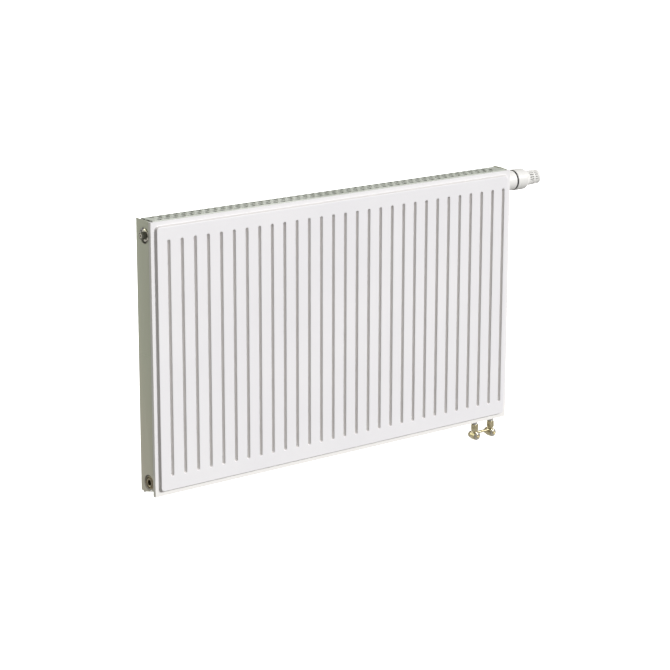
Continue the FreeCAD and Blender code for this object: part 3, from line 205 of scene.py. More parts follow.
def pressing_painted_light_and_shade(tree, coords, colour, shaded_wall, low, lit_foot):
    """Painted shade on the pressing's walls, painted light on its rim near the bottom, and a rim tone."""
    depth, height = coordinate(tree, coords, "Y"), coordinate(tree, coords, "Z")
    # Masks: painted shade on the walls below the raised face, painted light on the rim near the bottom
    wall_shade_mask = remap(tree, depth, 0.0, 1.0, (FRONT_FACE + 0.2) * MM, (FRONT_FACE + 1.2) * MM)
    at_rim = remap(tree, depth, 0.0, 1.0, (FRONT_RIM - 0.7) * MM, (FRONT_RIM - 0.2) * MM)
    foot_light_mask = remap(tree, height, 1.0, 0.0, (PANEL_BOTTOM + 4) * MM, (PANEL_BOTTOM + 60) * MM)
    walls = blended(tree, wall_shade_mask, colour, shaded_wall)
    ground = blended(tree, foot_light_mask, blended(tree, at_rim, colour, low), lit_foot)
    return blended(tree, at_rim, walls, ground)


def painted(name, first, second, rough, peel=0.12, coat=0.0, pressed=None):
    """Sprayed enamel: slight tone drift, orange peel and a patchy gloss.

    pressed gives the colours of the walls' painted shade, the rim, and the painted light near the bottom.
    """
    made, tree, shader = start_material(name, Coat_Weight=coat, Coat_Roughness=0.12)
    coords = object_coords(tree)
    colour = two_tone(tree, noise(tree, coords, scale=5.0, detail=4.0), first, second)
    if pressed is not None:
        colour = pressing_painted_light_and_shade(tree, coords, colour, **pressed)
    tree.links.new(colour, shader.inputs["Base Color"])
    gloss = noise(tree, coords, scale=22.0)
    tree.links.new(remap(tree, gloss, *rough), shader.inputs["Roughness"])
    waves = bump(tree, noise(tree, coords, scale=60.0, detail=2.0), strength=0.06, distance=0.002)
    skin = noise(tree, coords, scale=700, detail=2.0)
    tree.links.new(bump(tree, skin, peel, 0.0004, waves), shader.inputs["Normal"])
    return made


def cover_painted_shade(name, upper, middle, lower, rough):
    """The covers' painted shade: white enamel drawn grey-olive, lighter towards the bottom, in faint
    vertical streaks.
    """
    made, tree, shader = start_material(name)
    coords = object_coords(tree)
    wander = noise(tree, object_coords(tree, (14, 14, 2.2)), scale=1.0, detail=4.0)
    shift = remap(tree, wander, -0.12, 0.12)
    sway = add_node(tree, "ShaderNodeMath", {0: shift, 1: coordinate(tree, coords, "Z")}, operation="ADD")
    along = remap(tree, sway.outputs[0], 0.0, 1.0, start=-0.32, end=0.32)
    # upper, middle and lower are painted shade: white enamel drawn grey-olive, lighter towards the bottom
    ramp = add_node(tree, "ShaderNodeValToRGB", {"Fac": along})
    ramp.color_ramp.elements[0].color = (*lower, 1)
    ramp.color_ramp.elements[1].color = (*upper, 1)
    ramp.color_ramp.elements.new(0.55).color = (*middle, 1)
    tree.links.new(ramp.outputs["Color"], shader.inputs["Base Color"])
    tree.links.new(remap(tree, noise(tree, coords, scale=30.0), *rough), shader.inputs["Roughness"])
    skin = noise(tree, coords, scale=650, detail=2.0)
    tree.links.new(bump(tree, skin, strength=0.12, distance=0.0004), shader.inputs["Normal"])
    return made


def metal(name, first, second, rough, brush=(1, 1, 1), brush_scale=900, brush_depth=0.1):
    """Bare or plated metal: tarnish patches, turning marks along one direction and worn gloss."""
    made, tree, shader = start_material(name, Metallic=1.0)
    tarnish = noise(tree, object_coords(tree), scale=90.0, detail=6.0, rough=0.65)
    tree.links.new(two_tone(tree, tarnish, first, second), shader.inputs["Base Color"])
    marks = noise(tree, object_coords(tree, brush), brush_scale)
    tree.links.new(remap(tree, marks, *rough), shader.inputs["Roughness"])
    tree.links.new(bump(tree, marks, brush_depth, 0.0003), shader.inputs["Normal"])
    return made


def moulded(name, first, second, rough):
    """Moulded plastic or rubber: even colour with a fine eroded grain."""
    made, tree, shader = start_material(name)
    coords = object_coords(tree)
    drift = noise(tree, coords, scale=40.0, detail=4.0)
    tree.links.new(two_tone(tree, drift, first, second), shader.inputs["Base Color"])
    grain = noise(tree, coords, scale=1500, detail=2.0)
    tree.links.new(remap(tree, grain, *rough), shader.inputs["Roughness"])
    tree.links.new(bump(tree, grain, strength=0.1, distance=0.0002), shader.inputs["Normal"])
    return made


def turned_brass(name, first, second, rough):
    return metal(name, first, second, rough, brush=(1, 0.15, 1), brush_scale=1200, brush_depth=0.15)


# Front pressing: painted shade on the walls, an even rim tone, painted light on the rim near the bottom
PRESSING_LIGHT_AND_SHADE = {"shaded_wall": (0.74, 0.725, 0.71), "low": (0.87, 0.865, 0.87), "lit_foot": (0.93, 0.92, 0.89)}
MATERIALS = {
    "enamel": painted(
        "enamel", (0.86, 0.857, 0.873), (0.885, 0.882, 0.892), (0.3, 0.4), coat=0.1, pressed=PRESSING_LIGHT_AND_SHADE
    ),
    # Cover tones: painted shade, white enamel drawn grey-olive
    "cover_enamel": cover_painted_shade(
        "cover_enamel", (0.76, 0.785, 0.68), (0.8, 0.825, 0.71), (0.9, 0.865, 0.77), (0.4, 0.54)
    ),
    # Grille tone: painted shade, the white-painted grille drawn grey-green
    "grille_enamel": painted("grille_enamel", (0.5, 0.53, 0.47), (0.62, 0.65, 0.59), (0.6, 0.72)),
    "convector_primer": painted(
        "convector_primer", (0.55, 0.55, 0.53), (0.66, 0.66, 0.64), (0.55, 0.7), peel=0.2
    ),
    "block_steel": painted("block_steel", (0.82, 0.81, 0.77), (0.88, 0.87, 0.84), (0.4, 0.5), peel=0.2),
    "raw_steel": metal("raw_steel", (0.42, 0.41, 0.39), (0.56, 0.55, 0.53), (0.2, 0.35), brush=(0.1, 1, 1)),
    "spring_steel": metal("spring_steel", (0.35, 0.35, 0.36), (0.5, 0.5, 0.51), (0.18, 0.3)),
    "brass": turned_brass("brass", (0.33, 0.29, 0.17), (0.64, 0.57, 0.38), (0.2, 0.4)),
    "nickel": metal(
        "nickel", (0.44, 0.42, 0.36), (0.62, 0.6, 0.53), (0.16, 0.3), brush=(1, 0.2, 1), brush_scale=1100
    ),
    "white_plastic": moulded("white_plastic", (0.83, 0.83, 0.8), (0.88, 0.88, 0.85), (0.3, 0.42)),
    "black_plastic": moulded("black_plastic", (0.012, 0.012, 0.012), (0.03, 0.03, 0.03), (0.35, 0.5)),
    "grey_plastic": moulded("grey_plastic", (0.1, 0.1, 0.095), (0.17, 0.17, 0.165), (0.4, 0.55)),
    "seal_rubber": moulded("seal_rubber", (0.012, 0.012, 0.012), (0.025, 0.025, 0.024), (0.55, 0.75)),
    "seat_plastic": moulded("seat_plastic", (0.78, 0.77, 0.73), (0.86, 0.85, 0.82), (0.25, 0.35)),
}


# ---------------------------------------------------------------- objects


def placed(x, y, z, along="+X"):
    """A local frame at x, y, z in millimetres whose X axis points along the named direction."""
    turns = {"+X": 0.0, "-X": math.pi, "-Y": -math.pi / 2, "+Y": math.pi / 2}
    if along == "+Z":
        spin = Matrix.Rotation(-math.pi / 2, 4, "Y")
    else:
        spin = Matrix.Rotation(turns[along], 4, "Z")
    return Matrix.Translation(Vector((x, y, z)) * MM) @ spin


def add_object(name, data):
    made = bpy.data.objects.new(name, data)
    bpy.context.scene.collection.objects.link(made)
    return made


def shade(mesh, angle=32.0):
    """Smooth shading, but sharp where faces meet at more than the angle, in degrees."""
    mesh.polygons.foreach_set("use_smooth", [True] * len(mesh.polygons))
    mesh.set_sharp_from_angle(angle=math.radians(angle))


def mesh_object(name, points, faces, place=None, smooth=32.0):
    """A mesh from points in millimetres, moved to its place, smooth up to the given angle."""
    mesh = bpy.data.meshes.new(name)
    mesh.from_pydata([Vector(p) * MM for p in points], [], faces)
    if place is not None:
        mesh.transform(place)
    tidy = bmesh.new()
    tidy.from_mesh(mesh)
    bmesh.ops.remove_doubles(tidy, verts=tidy.verts, dist=1e-6)
    bmesh.ops.recalc_face_normals(tidy, faces=tidy.faces)
    tidy.to_mesh(mesh)
    tidy.free()
    shade(mesh, smooth)
    return add_object(name, mesh)


def modify(made, kind, **settings):
    modifier = made.modifiers.new(kind.lower(), kind)
    for name, value in settings.items():
        setattr(modifier, name, value)


def settle(made):
    """Applies an object's modifiers to its mesh."""
    depsgraph = bpy.context.evaluated_depsgraph_get()
    mesh = bpy.data.meshes.new_from_object(made.evaluated_get(depsgraph))
    made.modifiers.clear()
    made.data = mesh
    return made


def carve(made, *cutters):
    """Cuts the cutters out of an object and removes them."""
    for cutter in cutters:
        modify(made, "BOOLEAN", operation="DIFFERENCE", solver="EXACT", object=cutter)
    settle(made)
    for cutter in cutters:
        bpy.data.objects.remove(cutter)
    shade(made.data)
    return made


def fused(name, *parts):
    """One object from several."""
    joined = bmesh.new()
    for part in parts:
        joined.from_mesh(part.data)
    mesh = bpy.data.meshes.new(name)
    joined.to_mesh(mesh)
    joined.free()
    for part in parts:
        bpy.data.objects.remove(part)
    shade(mesh)
    return add_object(name, mesh)


def dress(made, node):
    """Puts a piece in place of a CAD node: its body, its slot and its material."""
    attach(made, NODES[node]["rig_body"])
    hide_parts(node)
    made.data.materials.clear()
    made.data.materials.append(MATERIALS[SLOT_OF[node]])
    return made


# ---------------------------------------------------------------- shapes


def rectangle(x_low, x_high, y_low, y_high):
    return [(x_low, y_low), (x_high, y_low), (x_high, y_high), (x_low, y_high)]


def soften(points, radius, steps=4):
    """The closed outline with each corner drawn as a short curve; radius may be one per corner."""
    count = len(points)
    radii = radius if isinstance(radius, (list, tuple)) else [radius] * count
    edge_share = 0.48
    outline = []
    for i in range(count):
        corner = Vector(points[i])
        before, after = Vector(points[i - 1]) - corner, Vector(points[(i + 1) % count]) - corner
        reach = min(radii[i], edge_share * before.length, edge_share * after.length)
        if reach < 1e-6:
            outline.append(corner)
            continue
        start, end = corner + before.normalized() * reach, corner + after.normalized() * reach
        for step in range(steps + 1):
            t = step / steps
            outline.append(start * (1 - t) ** 2 + corner * 2 * t * (1 - t) + end * t**2)
    return outline


def prism(name, outline, low, high, axis="Z"):
    """A closed outline drawn out from low to high along an axis.

    Its two coordinates are the other two axes in X, Y, Z order.
    """
    order = {"X": (2, 0, 1), "Y": (0, 2, 1), "Z": (0, 1, 2)}[axis]
    points = []
    for level in (low, high):
        for a, b in outline:
            triple = (a, b, level)
            points.append([triple[i] for i in order])
    count = len(outline)
    faces = band(0, count, count)
    faces += [list(range(count)), list(range(count, 2 * count))]
    return mesh_object(name, points, faces)


def band(first, second, count):
    """Faces between two closed rings of count points, each given by the number of its first point."""
    faces = []
    for k in range(count):
        after = (k + 1) % count
        faces.append([first + k, first + after, second + after, second + k])
    return faces


def sheet_faces(first, wide, tall):
    """Faces of a sheet of tall rows of wide points."""
    faces = []
    for row in range(tall - 1):
        start = first + row * wide
        faces += [[c, c + 1, c + 1 + wide, c + wide] for c in range(start, start + wide - 1)]
    return faces


def turned_faces(count, segments):
    """Faces of a closed outline of count points that is turned through a whole circle."""
    faces = []
    for k in range(segments):
        here, there = k * count, (k + 1) % segments * count
        for i in range(count):
            j = (i + 1) % count
            faces.append([here + i, here + j, there + j, there + i])
    return faces


def swung(along, out, turn):
    """A point at along on the local X axis and out from it, after a turn given in whole circles."""
    angle = 2 * math.pi * turn
    return (along, out * math.cos(angle), out * math.sin(angle))


def lathe(name, outline, place, segments=72):
    """A closed outline of (along, out) turned about the local X axis."""
    points = []
    for k in range(segments):
        points += [swung(along, out, k / segments) for along, out in outline]
    return mesh_object(name, points, turned_faces(len(outline), segments), place)


def hexagon_ring(name, flats, bore, low, high, place, chamfer):
    """A hexagon nut with chamfered ends, along the local X axis; bore is (radius, along) pairs."""
    facets_per_flat = 16
    segments = 6 * facets_per_flat
    corner, end_radius = flats / math.sqrt(3), flats * 0.475
    shallow = [chamfer * t for t in (0, 0.08, 0.3, 0.6, 1.0)]
    stations = [low + s for s in shallow] + [high - s for s in reversed(shallow)]
    points = []
    for k in range(segments):
        angle = 2 * math.pi * k / segments
        off = (angle + math.pi / 6) % (math.pi / 3) - math.pi / 6
        flat_radius = flats / 2 / math.cos(off)
        ring = []
        for along in stations:
            reach = min(along - low, high - along) / chamfer
            ring.append((along, min(flat_radius, end_radius + reach * (corner - end_radius))))
        ring += [(along, radius) for radius, along in bore]
        points += [swung(along, out, k / segments) for along, out in ring]
    return mesh_object(name, points, turned_faces(len(ring), segments), place, smooth=25.0)


def thread(name, radius, depth, pitch, low, high, bore, place):
    """A tube with a helical outside thread along the local X axis, which fades out at both ends."""
    segments, rows_per_pitch, fading_rows = 64, 8, 6
    rows = int((high - low) / pitch * rows_per_pitch)
    points, faces = [], []
    for row in range(rows + 1):
        along = low + (high - low) * row / rows
        full = min(1.0, min(row, rows - row) / fading_rows)
        for k in range(segments):
            phase = (along / pitch - k / segments) % 1.0
            cut = depth * (1 - abs(2 * phase - 1)) * full + 0.5 * depth * (1 - full)
            points.append(swung(along, radius - cut, k / segments))
    for row in range(rows):
        faces += band(row * segments, (row + 1) * segments, segments)
    inner = []
    for along, edge in ((low, 0), (high, rows * segments)):
        inner.append(len(points))
        points += [swung(along, bore, k / segments) for k in range(segments)]
        faces += band(edge, inner[-1], segments)
    faces += band(*inner, segments)
    return mesh_object(name, points, faces, place, smooth=50.0)


# ---------------------------------------------------------------- pressed panels


def rounded_ramp(t, blend=0.16):
    """0 below 0 and 1 above 1, straight between, with both bends rounded."""
    low = np.clip((t + blend) / (2 * blend), 0, 1) ** 2 * blend
    high = 1 - np.clip((1 + blend - t) / (2 * blend), 0, 1) ** 2 * blend
    return np.where(t > 1 - blend, high, np.where(t > blend, t, low))


def sheet_columns(first_groove, edge):
    """The x of the sheet's points, close together at the grooves and at the step."""
    columns = {-edge, edge}
    for n in range(GROOVE_COUNT):
        groove = first_groove + n * GROOVE_PITCH - HALF
        columns.update(groove + side * d for d in ACROSS_GROOVE for side in (-1, 1))
    columns.update(side * (HALF - d) for d in ACROSS_STEP for side in (-1, 1))
    return np.array(sorted({round(c, 3) for c in columns if abs(c) <= edge}))


def sheet_rows(low_end, high_end):
    """The z of the sheet's points, close together at the step and at the grooves' ends."""
    rows = {PANEL_BOTTOM, PANEL_TOP}
    rows.update(PANEL_BOTTOM + d for d in ACROSS_STEP)
    rows.update(PANEL_TOP - d for d in ACROSS_STEP)
    rows.update(low_end - d for d in ACROSS_GROOVE)
    rows.update(high_end + d for d in ACROSS_GROOVE)
    rows.update(np.linspace(low_end, high_end, 12))
    return np.array(sorted({round(r, 3) for r in rows}))


def pressed_height(x, z, first_groove, low_end, high_end):
    """How far a point is pressed out: 0 on the rim and in the grooves, 1 on the raised face."""
    middle, tall = (PANEL_TOP + PANEL_BOTTOM) / 2, (PANEL_TOP - PANEL_BOTTOM) / 2
    dx = np.abs(x) - (HALF - RIM_WIDTH - CORNER_RADIUS)
    dz = np.abs(z - middle) - (tall - RIM_WIDTH - CORNER_RADIUS)
    outside = np.hypot(np.maximum(dx, 0), np.maximum(dz, 0)) + np.minimum(np.maximum(dx, dz), 0)
    face = rounded_ramp((CORNER_RADIUS - outside) / WALL_RUN)
    nearest = np.clip(np.round((x + HALF - first_groove) / GROOVE_PITCH), 0, GROOVE_COUNT - 1)
    groove_x = first_groove + nearest * GROOVE_PITCH - HALF
    beyond = np.maximum(np.maximum(z - high_end, low_end - z), 0)
    beside = np.hypot(x - groove_x, beyond) - GROOVE_FLOOR
    return np.minimum(face, rounded_ramp(beside / WALL_RUN))


def pressed_shell(name, node, seam, facing, first_groove, inset, flanged):
    """One outer pressing as a dense sheet: rim, rounded step, raised face and round-ended grooves."""
    edge = HALF - inset
    low_end = PANEL_BOTTOM + GROOVE_BOTTOM + GROOVE_FLOOR + WALL_RUN
    high_end = PANEL_TOP - GROOVE_TOP - GROOVE_FLOOR - WALL_RUN
    columns, rows = sheet_columns(first_groove, edge), sheet_rows(low_end, high_end)
    x, z = np.meshgrid(columns, rows)
    y = seam + facing * (SHEET + RISE * pressed_height(x, z, first_groove, low_end, high_end))
    points = list(zip(x.ravel(), y.ravel(), z.ravel()))
    faces = sheet_faces(0, len(columns), len(rows))
    if flanged:
        bend = (0.0, 0.4, 0.8, 1.2, math.pi / 2)
        curve = [(FLANGE_BEND * (1 - math.sin(a)), FLANGE_BEND * (1 - math.cos(a))) for a in bend]
        curve += [(0.0, 3.5), (0.0, FLANGE_DEPTH)]
        for side in (-1, 1):
            first = len(points)
            for level in rows:
                for inward, back in curve:
                    points.append((side * (edge - inward), seam + facing * (SHEET - back), level))
            faces += sheet_faces(first, len(curve), len(rows))
    made = mesh_object(name, points, faces, smooth=60.0)
    modify(made, "SOLIDIFY", thickness=SHEET * MM, offset=-1.0)
    settle(made).data.set_sharp_from_angle(angle=math.radians(50))
    dress(made, node)


# ---------------------------------------------------------------- covers and grille


def hole_ring(cx, cy, grow, z):
    """The oval edge of a hole, grown outwards by a little."""
    straight, radius = (HOLE_LENGTH - HOLE_WIDTH) / 2, HOLE_WIDTH / 2 + grow
    loop = []
    for k in range(HOLE_SEGMENTS):
        angle = 2 * math.pi * (k + 0.5) / HOLE_SEGMENTS
        shift = math.copysign(straight, math.cos(angle))
        loop.append((cx + shift + radius * math.cos(angle), cy + radius * math.sin(angle), z))
    return loop


def cell_border(cx, cy):
    """Points on the border of the hole's cell, one for each point of the hole."""
    loop = []
    for k in range(HOLE_SEGMENTS):
        angle = 2 * math.pi * (k + 0.5) / HOLE_SEGMENTS
        c, s = math.cos(angle), math.sin(angle)
        scale = min(HOLE_PITCH / 2 / abs(c), ROW_PITCH / 2 / abs(s))
        loop.append((cx + c * scale, cy + s * scale, COVER_TOP))
    return loop


def add_cell(points, faces, cx, cy):
    """Adds one hole with its rolled lip and the flat sheet around it, out to the cell's corners."""
    first = len(points)
    points += cell_border(cx, cy)
    for level, (grow, depth) in enumerate(HOLE_LIP):
        points += hole_ring(cx, cy, grow, COVER_TOP - depth)
        outer = first + level * HOLE_SEGMENTS
        faces += band(outer, outer + HOLE_SEGMENTS, HOLE_SEGMENTS)
    for k in range(HOLE_SEGMENTS):
        p, q = first + k, first + (k + 1) % HOLE_SEGMENTS
        (px, py, _), (qx, qy, _) = points[p], points[q]
        if abs(px - qx) > 1e-4 and abs(py - qy) > 1e-4:
            corner_x = cx + math.copysign(HOLE_PITCH / 2, (px + qx) / 2 - cx)
            corner_y = cy + math.copysign(ROW_PITCH / 2, (py + qy) / 2 - cy)
            points.append((corner_x, corner_y, COVER_TOP))
            faces.append([p, len(points) - 1, q])


def add_flat(points, faces, corners):
    first = len(points)
    points += corners
    faces.append([first, first + 1, first + 2, first + 3])


def grille():
    """Perforated top: staggered oval holes with rolled lips in a sheet with bent-down sides."""
    points, faces = [], []
    for row in (-1, 0, 1):
        cy = MIDDLE + ROW_PITCH * row
        start = GRILLE_LEFT + HOLE_PITCH + (0 if row else HOLE_PITCH / 2)
        for n in range(HOLE_COUNT):
            add_cell(points, faces, start + n * HOLE_PITCH, cy)
        first_cell, last_cell = start - HOLE_PITCH / 2, start + (HOLE_COUNT - 0.5) * HOLE_PITCH
        for x_low, x_high in ((GRILLE_LEFT, first_cell), (last_cell, GRILLE_RIGHT)):
            flat = rectangle(x_low, x_high, cy - ROW_PITCH / 2, cy + ROW_PITCH / 2)
            add_flat(points, faces, [(x, y, COVER_TOP) for x, y in flat])
    for side in (-1, 1):
        curve = [(MIDDLE + side * (GRILLE_HALF - GRILLE_ROLL), COVER_TOP)]
        for k in range(1, 6):
            angle = math.pi / 2 * k / 5
            out = GRILLE_HALF - GRILLE_ROLL * (1 - math.sin(angle))
            curve.append((MIDDLE + side * out, COVER_TOP - GRILLE_ROLL * (1 - math.cos(angle))))
        curve.append((MIDDLE + side * GRILLE_HALF, COVER_TOP - GRILLE_DROP))
        for (ya, za), (yb, zb) in zip(curve, curve[1:]):
            left, right = GRILLE_LEFT, GRILLE_RIGHT
            add_flat(points, faces, [(left, ya, za), (right, ya, za), (right, yb, zb), (left, yb, zb)])
    dress(mesh_object("grille_top", points, faces, smooth=50.0), "top_grille")


def port_cut(side, height):
    outline = [(-20, 0), (-20, PORT_OPENING), (20, PORT_OPENING), (20, 0)]
    return lathe("hole_cut", outline, placed(side * HALF, MIDDLE, height))


def side_cover(side, name):
    """One end's two covers: bent channels with a seam lip, port openings and shaped corners."""
    front, back, sheet = COVER_FRONT, COVER_BACK, COVER_SHEET
    outer, inner, lip = side * HALF, side * (HALF - COVER_SHEET), side * (HALF - COVER_LIP)
    section = [
        (outer, front), (lip, front), (lip, front + sheet), (inner, front + sheet),
        (inner, back - sheet), (lip, back - sheet), (lip, back), (outer, back),
    ]
    channel = soften(section, [1.6, 0.3, 0.3, 0.8, 0.8, 0.3, 0.3, 1.6], steps=5)
    past_end = HALF + 10

    low = COVER_BOTTOM
    lower = prism(f"cover_{name}_lower", channel, low, LOWER_COVER_TOP)
    chamfer = [(front - 1, low - 1), (front + 28, low - 1), (front + 28, low), (front - 1, low + 7.3)]
    cutters = [prism("corner_cut", chamfer, -past_end, past_end, "X")]
    if name == "left":
        cutters.append(port_cut(side, BOTTOM_PORT))
    carve(lower, *cutters)
    tongue_x = sorted((side * (HALF - 2.1), side * (HALF - 1.1)))
    tongue = soften(rectangle(*tongue_x, front + 3, back - 3), 0.4)
    tongue = prism("tongue", tongue, LOWER_COVER_TOP - 11.6, UPPER_COVER_BOTTOM + 12)
    dress(fused(f"cover_{name}_lower", lower, tongue), f"side_cover_{name}_lower")

    top = COVER_TOP
    upper = prism(f"cover_{name}_upper", channel, UPPER_COVER_BOTTOM, top)
    bevel = [(front - 1, top + 1), (front + 24, top + 1), (front + 24, top), (front - 1, top - 2.6)]
    carve(upper, prism("slope_cut", bevel, -past_end, past_end, "X"), port_cut(side, TOP_PORT))
    tab_x = sorted((side * (HALF - 14), inner))
    tab = soften(rectangle(*tab_x, MIDDLE - 10, MIDDLE + 10), 1.0)
    tab = prism("tab", tab, top - 3.6, top - 2.6)
    dress(fused(f"cover_{name}_upper", upper, tab), f"side_cover_{name}_upper")


# ---------------------------------------------------------------- plugs


def plugs():
    """Blind plug with a key recess, and vent plug with its nozzle."""
    place = placed(-HALF, MIDDLE, BOTTOM_PORT, "-X")
    outline = [
        (SHANK_END, 0), (SHANK_END, SHANK_RADIUS), (SEAL_START, SHANK_RADIUS), (SEAL_START, SEAL_RADIUS),
        (-4.5, SEAL_RADIUS), (-4.5, PLUG_RIM), (-1.5, PLUG_RIM), (-0.5, PLUG_RIM - 1),
        (-0.5, 12.4), (-3.6, 11.9), (-3.6, 10.6), (-0.5, 10.1), (-0.5, 8.2), (-1.1, 7.6), (-1.1, 0),
    ]
    plug = lathe("plug_blind", soften(outline, [0] + [0.35] * 13 + [0]), place)
    corners = [swung(0, KEY_RADIUS, k / 6) for k in range(6)]
    key = [(MIDDLE + y, BOTTOM_PORT + z) for _, y, z in corners]
    key = prism("key", key, -HALF - 10, -HALF + KEY_DEPTH, "X")
    # A darker copy of brass: painted shade on the blind plug at the shaded end
    brass_in_painted_shade = turned_brass("brass_painted_shade", (0.12, 0.105, 0.07), (0.36, 0.31, 0.21), (0.2, 0.38))
    dress(carve(plug, key), "blind_plug").data.materials[0] = brass_in_painted_shade

    place = placed(-HALF, MIDDLE, TOP_PORT, "-X")
    head = hexagon_ring("vent_hexagon", VENT_KEY, [(5, -0.8), (5, -4.5)], -4.5, -0.8, place, chamfer=0.9)
    outline = [
        (SHANK_END, 2.5), (SHANK_END, SHANK_RADIUS), (SEAL_START, SHANK_RADIUS), (SEAL_START, SEAL_RADIUS),
        (-4.4, SEAL_RADIUS), (-4.4, 5), (9, 5), (9, 2.5),
    ]
    shank = lathe("vent_shank", soften(outline, 0.3), place)
    dress(fused("plug_vent", head, shank), "vent_plug")

    radius = NOZZLE_RADIUS
    outline = [
        (-0.5, 5.08), (-0.5, radius - 0.3), (0.2, radius), (7.4, radius), (8.7, radius - 1.2), (8.7, 5.08),
    ]
    ring = lathe("nozzle_ring", soften(outline, 0.5), place)
    spout_place = placed(-HALF - SPOUT_OUT, MIDDLE, TOP_PORT, "+Z")
    outline = [(-10.5, 1.1), (-10.5, 1.9), (-10.1, 2.2), (-6.3, 2.4), (-6.3, 1.1)]
    spout = lathe("nozzle_spout", soften(outline, 0.25), spout_place, segments=40)
    # Dark olive plastic: painted shade on the nozzle sitting in its port
    nozzle_in_painted_shade = moulded("nozzle_plastic_painted_shade", (0.16, 0.16, 0.125), (0.26, 0.26, 0.2), (0.18, 0.3))
    dress(fused("nozzle_vent", ring, spout), "vent_nozzle").data.materials[0] = nozzle_in_painted_shade


# ---------------------------------------------------------------- thermostatic head


def handle_profile(edges):
    """The handle's outside as (along, out): collar, shoulder, and tapered grip with rings at its slots."""
    profile = [
        (HANDLE_START, COLLAR_RADIUS - 2), (HANDLE_START, COLLAR_RADIUS - 0.8),
        (HANDLE_START + 0.2, COLLAR_RADIUS - 0.3), (HANDLE_START + 0.8, COLLAR_RADIUS),
    ]
    profile += [(along, COLLAR_RADIUS) for along in np.linspace(COLLAR_START, COLLAR_END, 6)]
    for k in range(13):
        t = k / 12
        out = COLLAR_RADIUS - 0.05 - SHOULDER_DROP * (3 * t**2 - 2 * t**3)
        profile.append((SHOULDER_START + SHOULDER_RUN * t, out))
    between_edges = (78.0, 86.7, 94.0, 102.5, 105.0)
    for along in sorted((*edges, *between_edges)):
        profile.append((along, GRIP_RADIUS - GRIP_TAPER * (along - GRIP_START)))
    end = HANDLE_END
    return profile + [(end - 0.7, 16.0), (end - 0.15, 15.6), (end, 15.0), (end, 14.15)]


def handle_skin():
    """Points and faces of the handle's outside, left open where its slots are."""
    facets_per_slot, slot_facets, end_facets = 10, range(4), range(1, 3)
    segments = SLOTS_AROUND * facets_per_slot
    edges = [u for low, high in SLOT_ROWS for u in (low, low + SLOT_CORNER, high - SLOT_CORNER, high)]
    profile = handle_profile(edges)
    points, faces = [], []
    for along, out in profile:
        points += [swung(along, out, k / segments) for k in range(segments)]
    for i in range(len(profile) - 1):
        start, end = profile[i][0], profile[i + 1][0]
        slotted = any(low <= start and end <= high for low, high in SLOT_ROWS)
        cut = end_facets if start in edges and end in edges else slot_facets
        ring = band(i * segments, (i + 1) * segments, segments)
        faces += [face for k, face in enumerate(ring) if not (slotted and k % facets_per_slot in cut)]
    return points, faces


def head():
    """Base, index ring, slotted handle and end cap of the thermostatic head."""
    place = placed(HALF, MIDDLE, TOP_PORT)
    base = [
        (1, 21.2), (1, BASE_RADIUS - 0.3), (1.3, BASE_RADIUS), (BASE_END - 0.4, BASE_RADIUS),
        (BASE_END, BASE_RADIUS - 0.4), (BASE_END, 21.2), (18.2, 21.2), (18.2, 13.4), (50, 13.4), (50, 11.5),
        (12, 11.5), (12, 14.6), (14, 14.6), (14, 13.4), (16.2, 13.4), (16.2, 21.2),
    ]
    dress(lathe("head_base_shell", soften(base, 0.35), place, segments=96), "head_base")
    ring = [
        (BASE_END, 13.7), (BASE_END, RING_RADIUS - 0.7), (BASE_END + 0.6, RING_RADIUS),
        (RING_END - 0.6, RING_RADIUS), (RING_END, RING_RADIUS - 0.7), (RING_END, 13.7),
    ]
    dress(lathe("head_ring", soften(ring, 0.4), place, segments=96), "head_index_ring")

    handle = mesh_object("head_grip", *handle_skin(), place, smooth=40.0)
    modify(handle, "SOLIDIFY", thickness=HANDLE_WALL * MM, offset=-1.0)
    settle(handle)
    modify(handle, "BEVEL", width=0.3 * MM, segments=2, limit_method="ANGLE", angle_limit=math.radians(50))
    settle(handle)
    handle.data.polygons.foreach_set("use_smooth", [True] * len(handle.data.polygons))
    dress(handle, "head_handle")
    cap = [
        (104.7, 0), (104.7, 14), (105.9, 14), (106.4, 13.6), (106.2, 12.4), (105.8, 11.8), (105.85, 6),
        (105.95, 0),
    ]
    dress(lathe("head_cap", soften(cap, [0] + [0.3] * 6 + [0]), place, segments=96), "head_end_cap")


# ---------------------------------------------------------------- shut-off block


def shutoff_casting():
    """Barrels, legs and bridge run together as one casting, with a threaded tail on each barrel."""
    front, back, radius = BARREL_FRONT, BARREL_BACK, BARREL_RADIUS
    barrel = [
        (-front, 0), (-front, radius - 0.5), (-front + 0.5, radius),
        (back - 0.5, radius), (back, radius - 0.5), (back, 0),
    ]
    leg = [
        (0, 0), (0, LEG_RADIUS), (12.0, LEG_RADIUS), (12.3, LEG_RADIUS - 0.2), (12.3, 5.2), (15.8, 5.2),
        (16.1, 6.6), (18.8, 6.6), (18.8, 0),
    ]
    parts, tails = [], []
    for x in LEG_X:
        parts.append(lathe("barrel", barrel, placed(x, MIDDLE, BARREL_Z, "+Y"), segments=64))
        parts.append(lathe("leg", leg, placed(x, MIDDLE, BARREL_Z, "+Z"), segments=64))
        place = placed(x, MIDDLE, BARREL_Z, "+Y")
        low, high = BARREL_BACK - 0.1, BARREL_BACK + TAIL_LENGTH
        tails.append(thread("tail", TAIL_THREAD, TAIL_DEPTH, TAIL_PITCH, low, high, TAIL_BORE, place))
    half = (LEG_X[1] - LEG_X[0]) / 2
    bridge = [(-half, 0), (-half, BRIDGE_RADIUS), (half, BRIDGE_RADIUS), (half, 0)]
    bridge_place = placed(sum(LEG_X) / 2, MIDDLE, BARREL_Z + BRIDGE_LIFT)
    parts.append(lathe("bridge", bridge, bridge_place, segments=48))
    casting = fused("casting", *parts)
    modify(casting, "REMESH", mode="VOXEL", voxel_size=CASTING_VOXEL * MM, use_smooth_shade=True)
    modify(casting, "SMOOTH", factor=0.6, iterations=4)
    settle(casting)
    block = fused("shutoff_body", casting, *tails)
    block.data.set_sharp_from_angle(angle=math.radians(50))
    dress(block, "h_block_body")


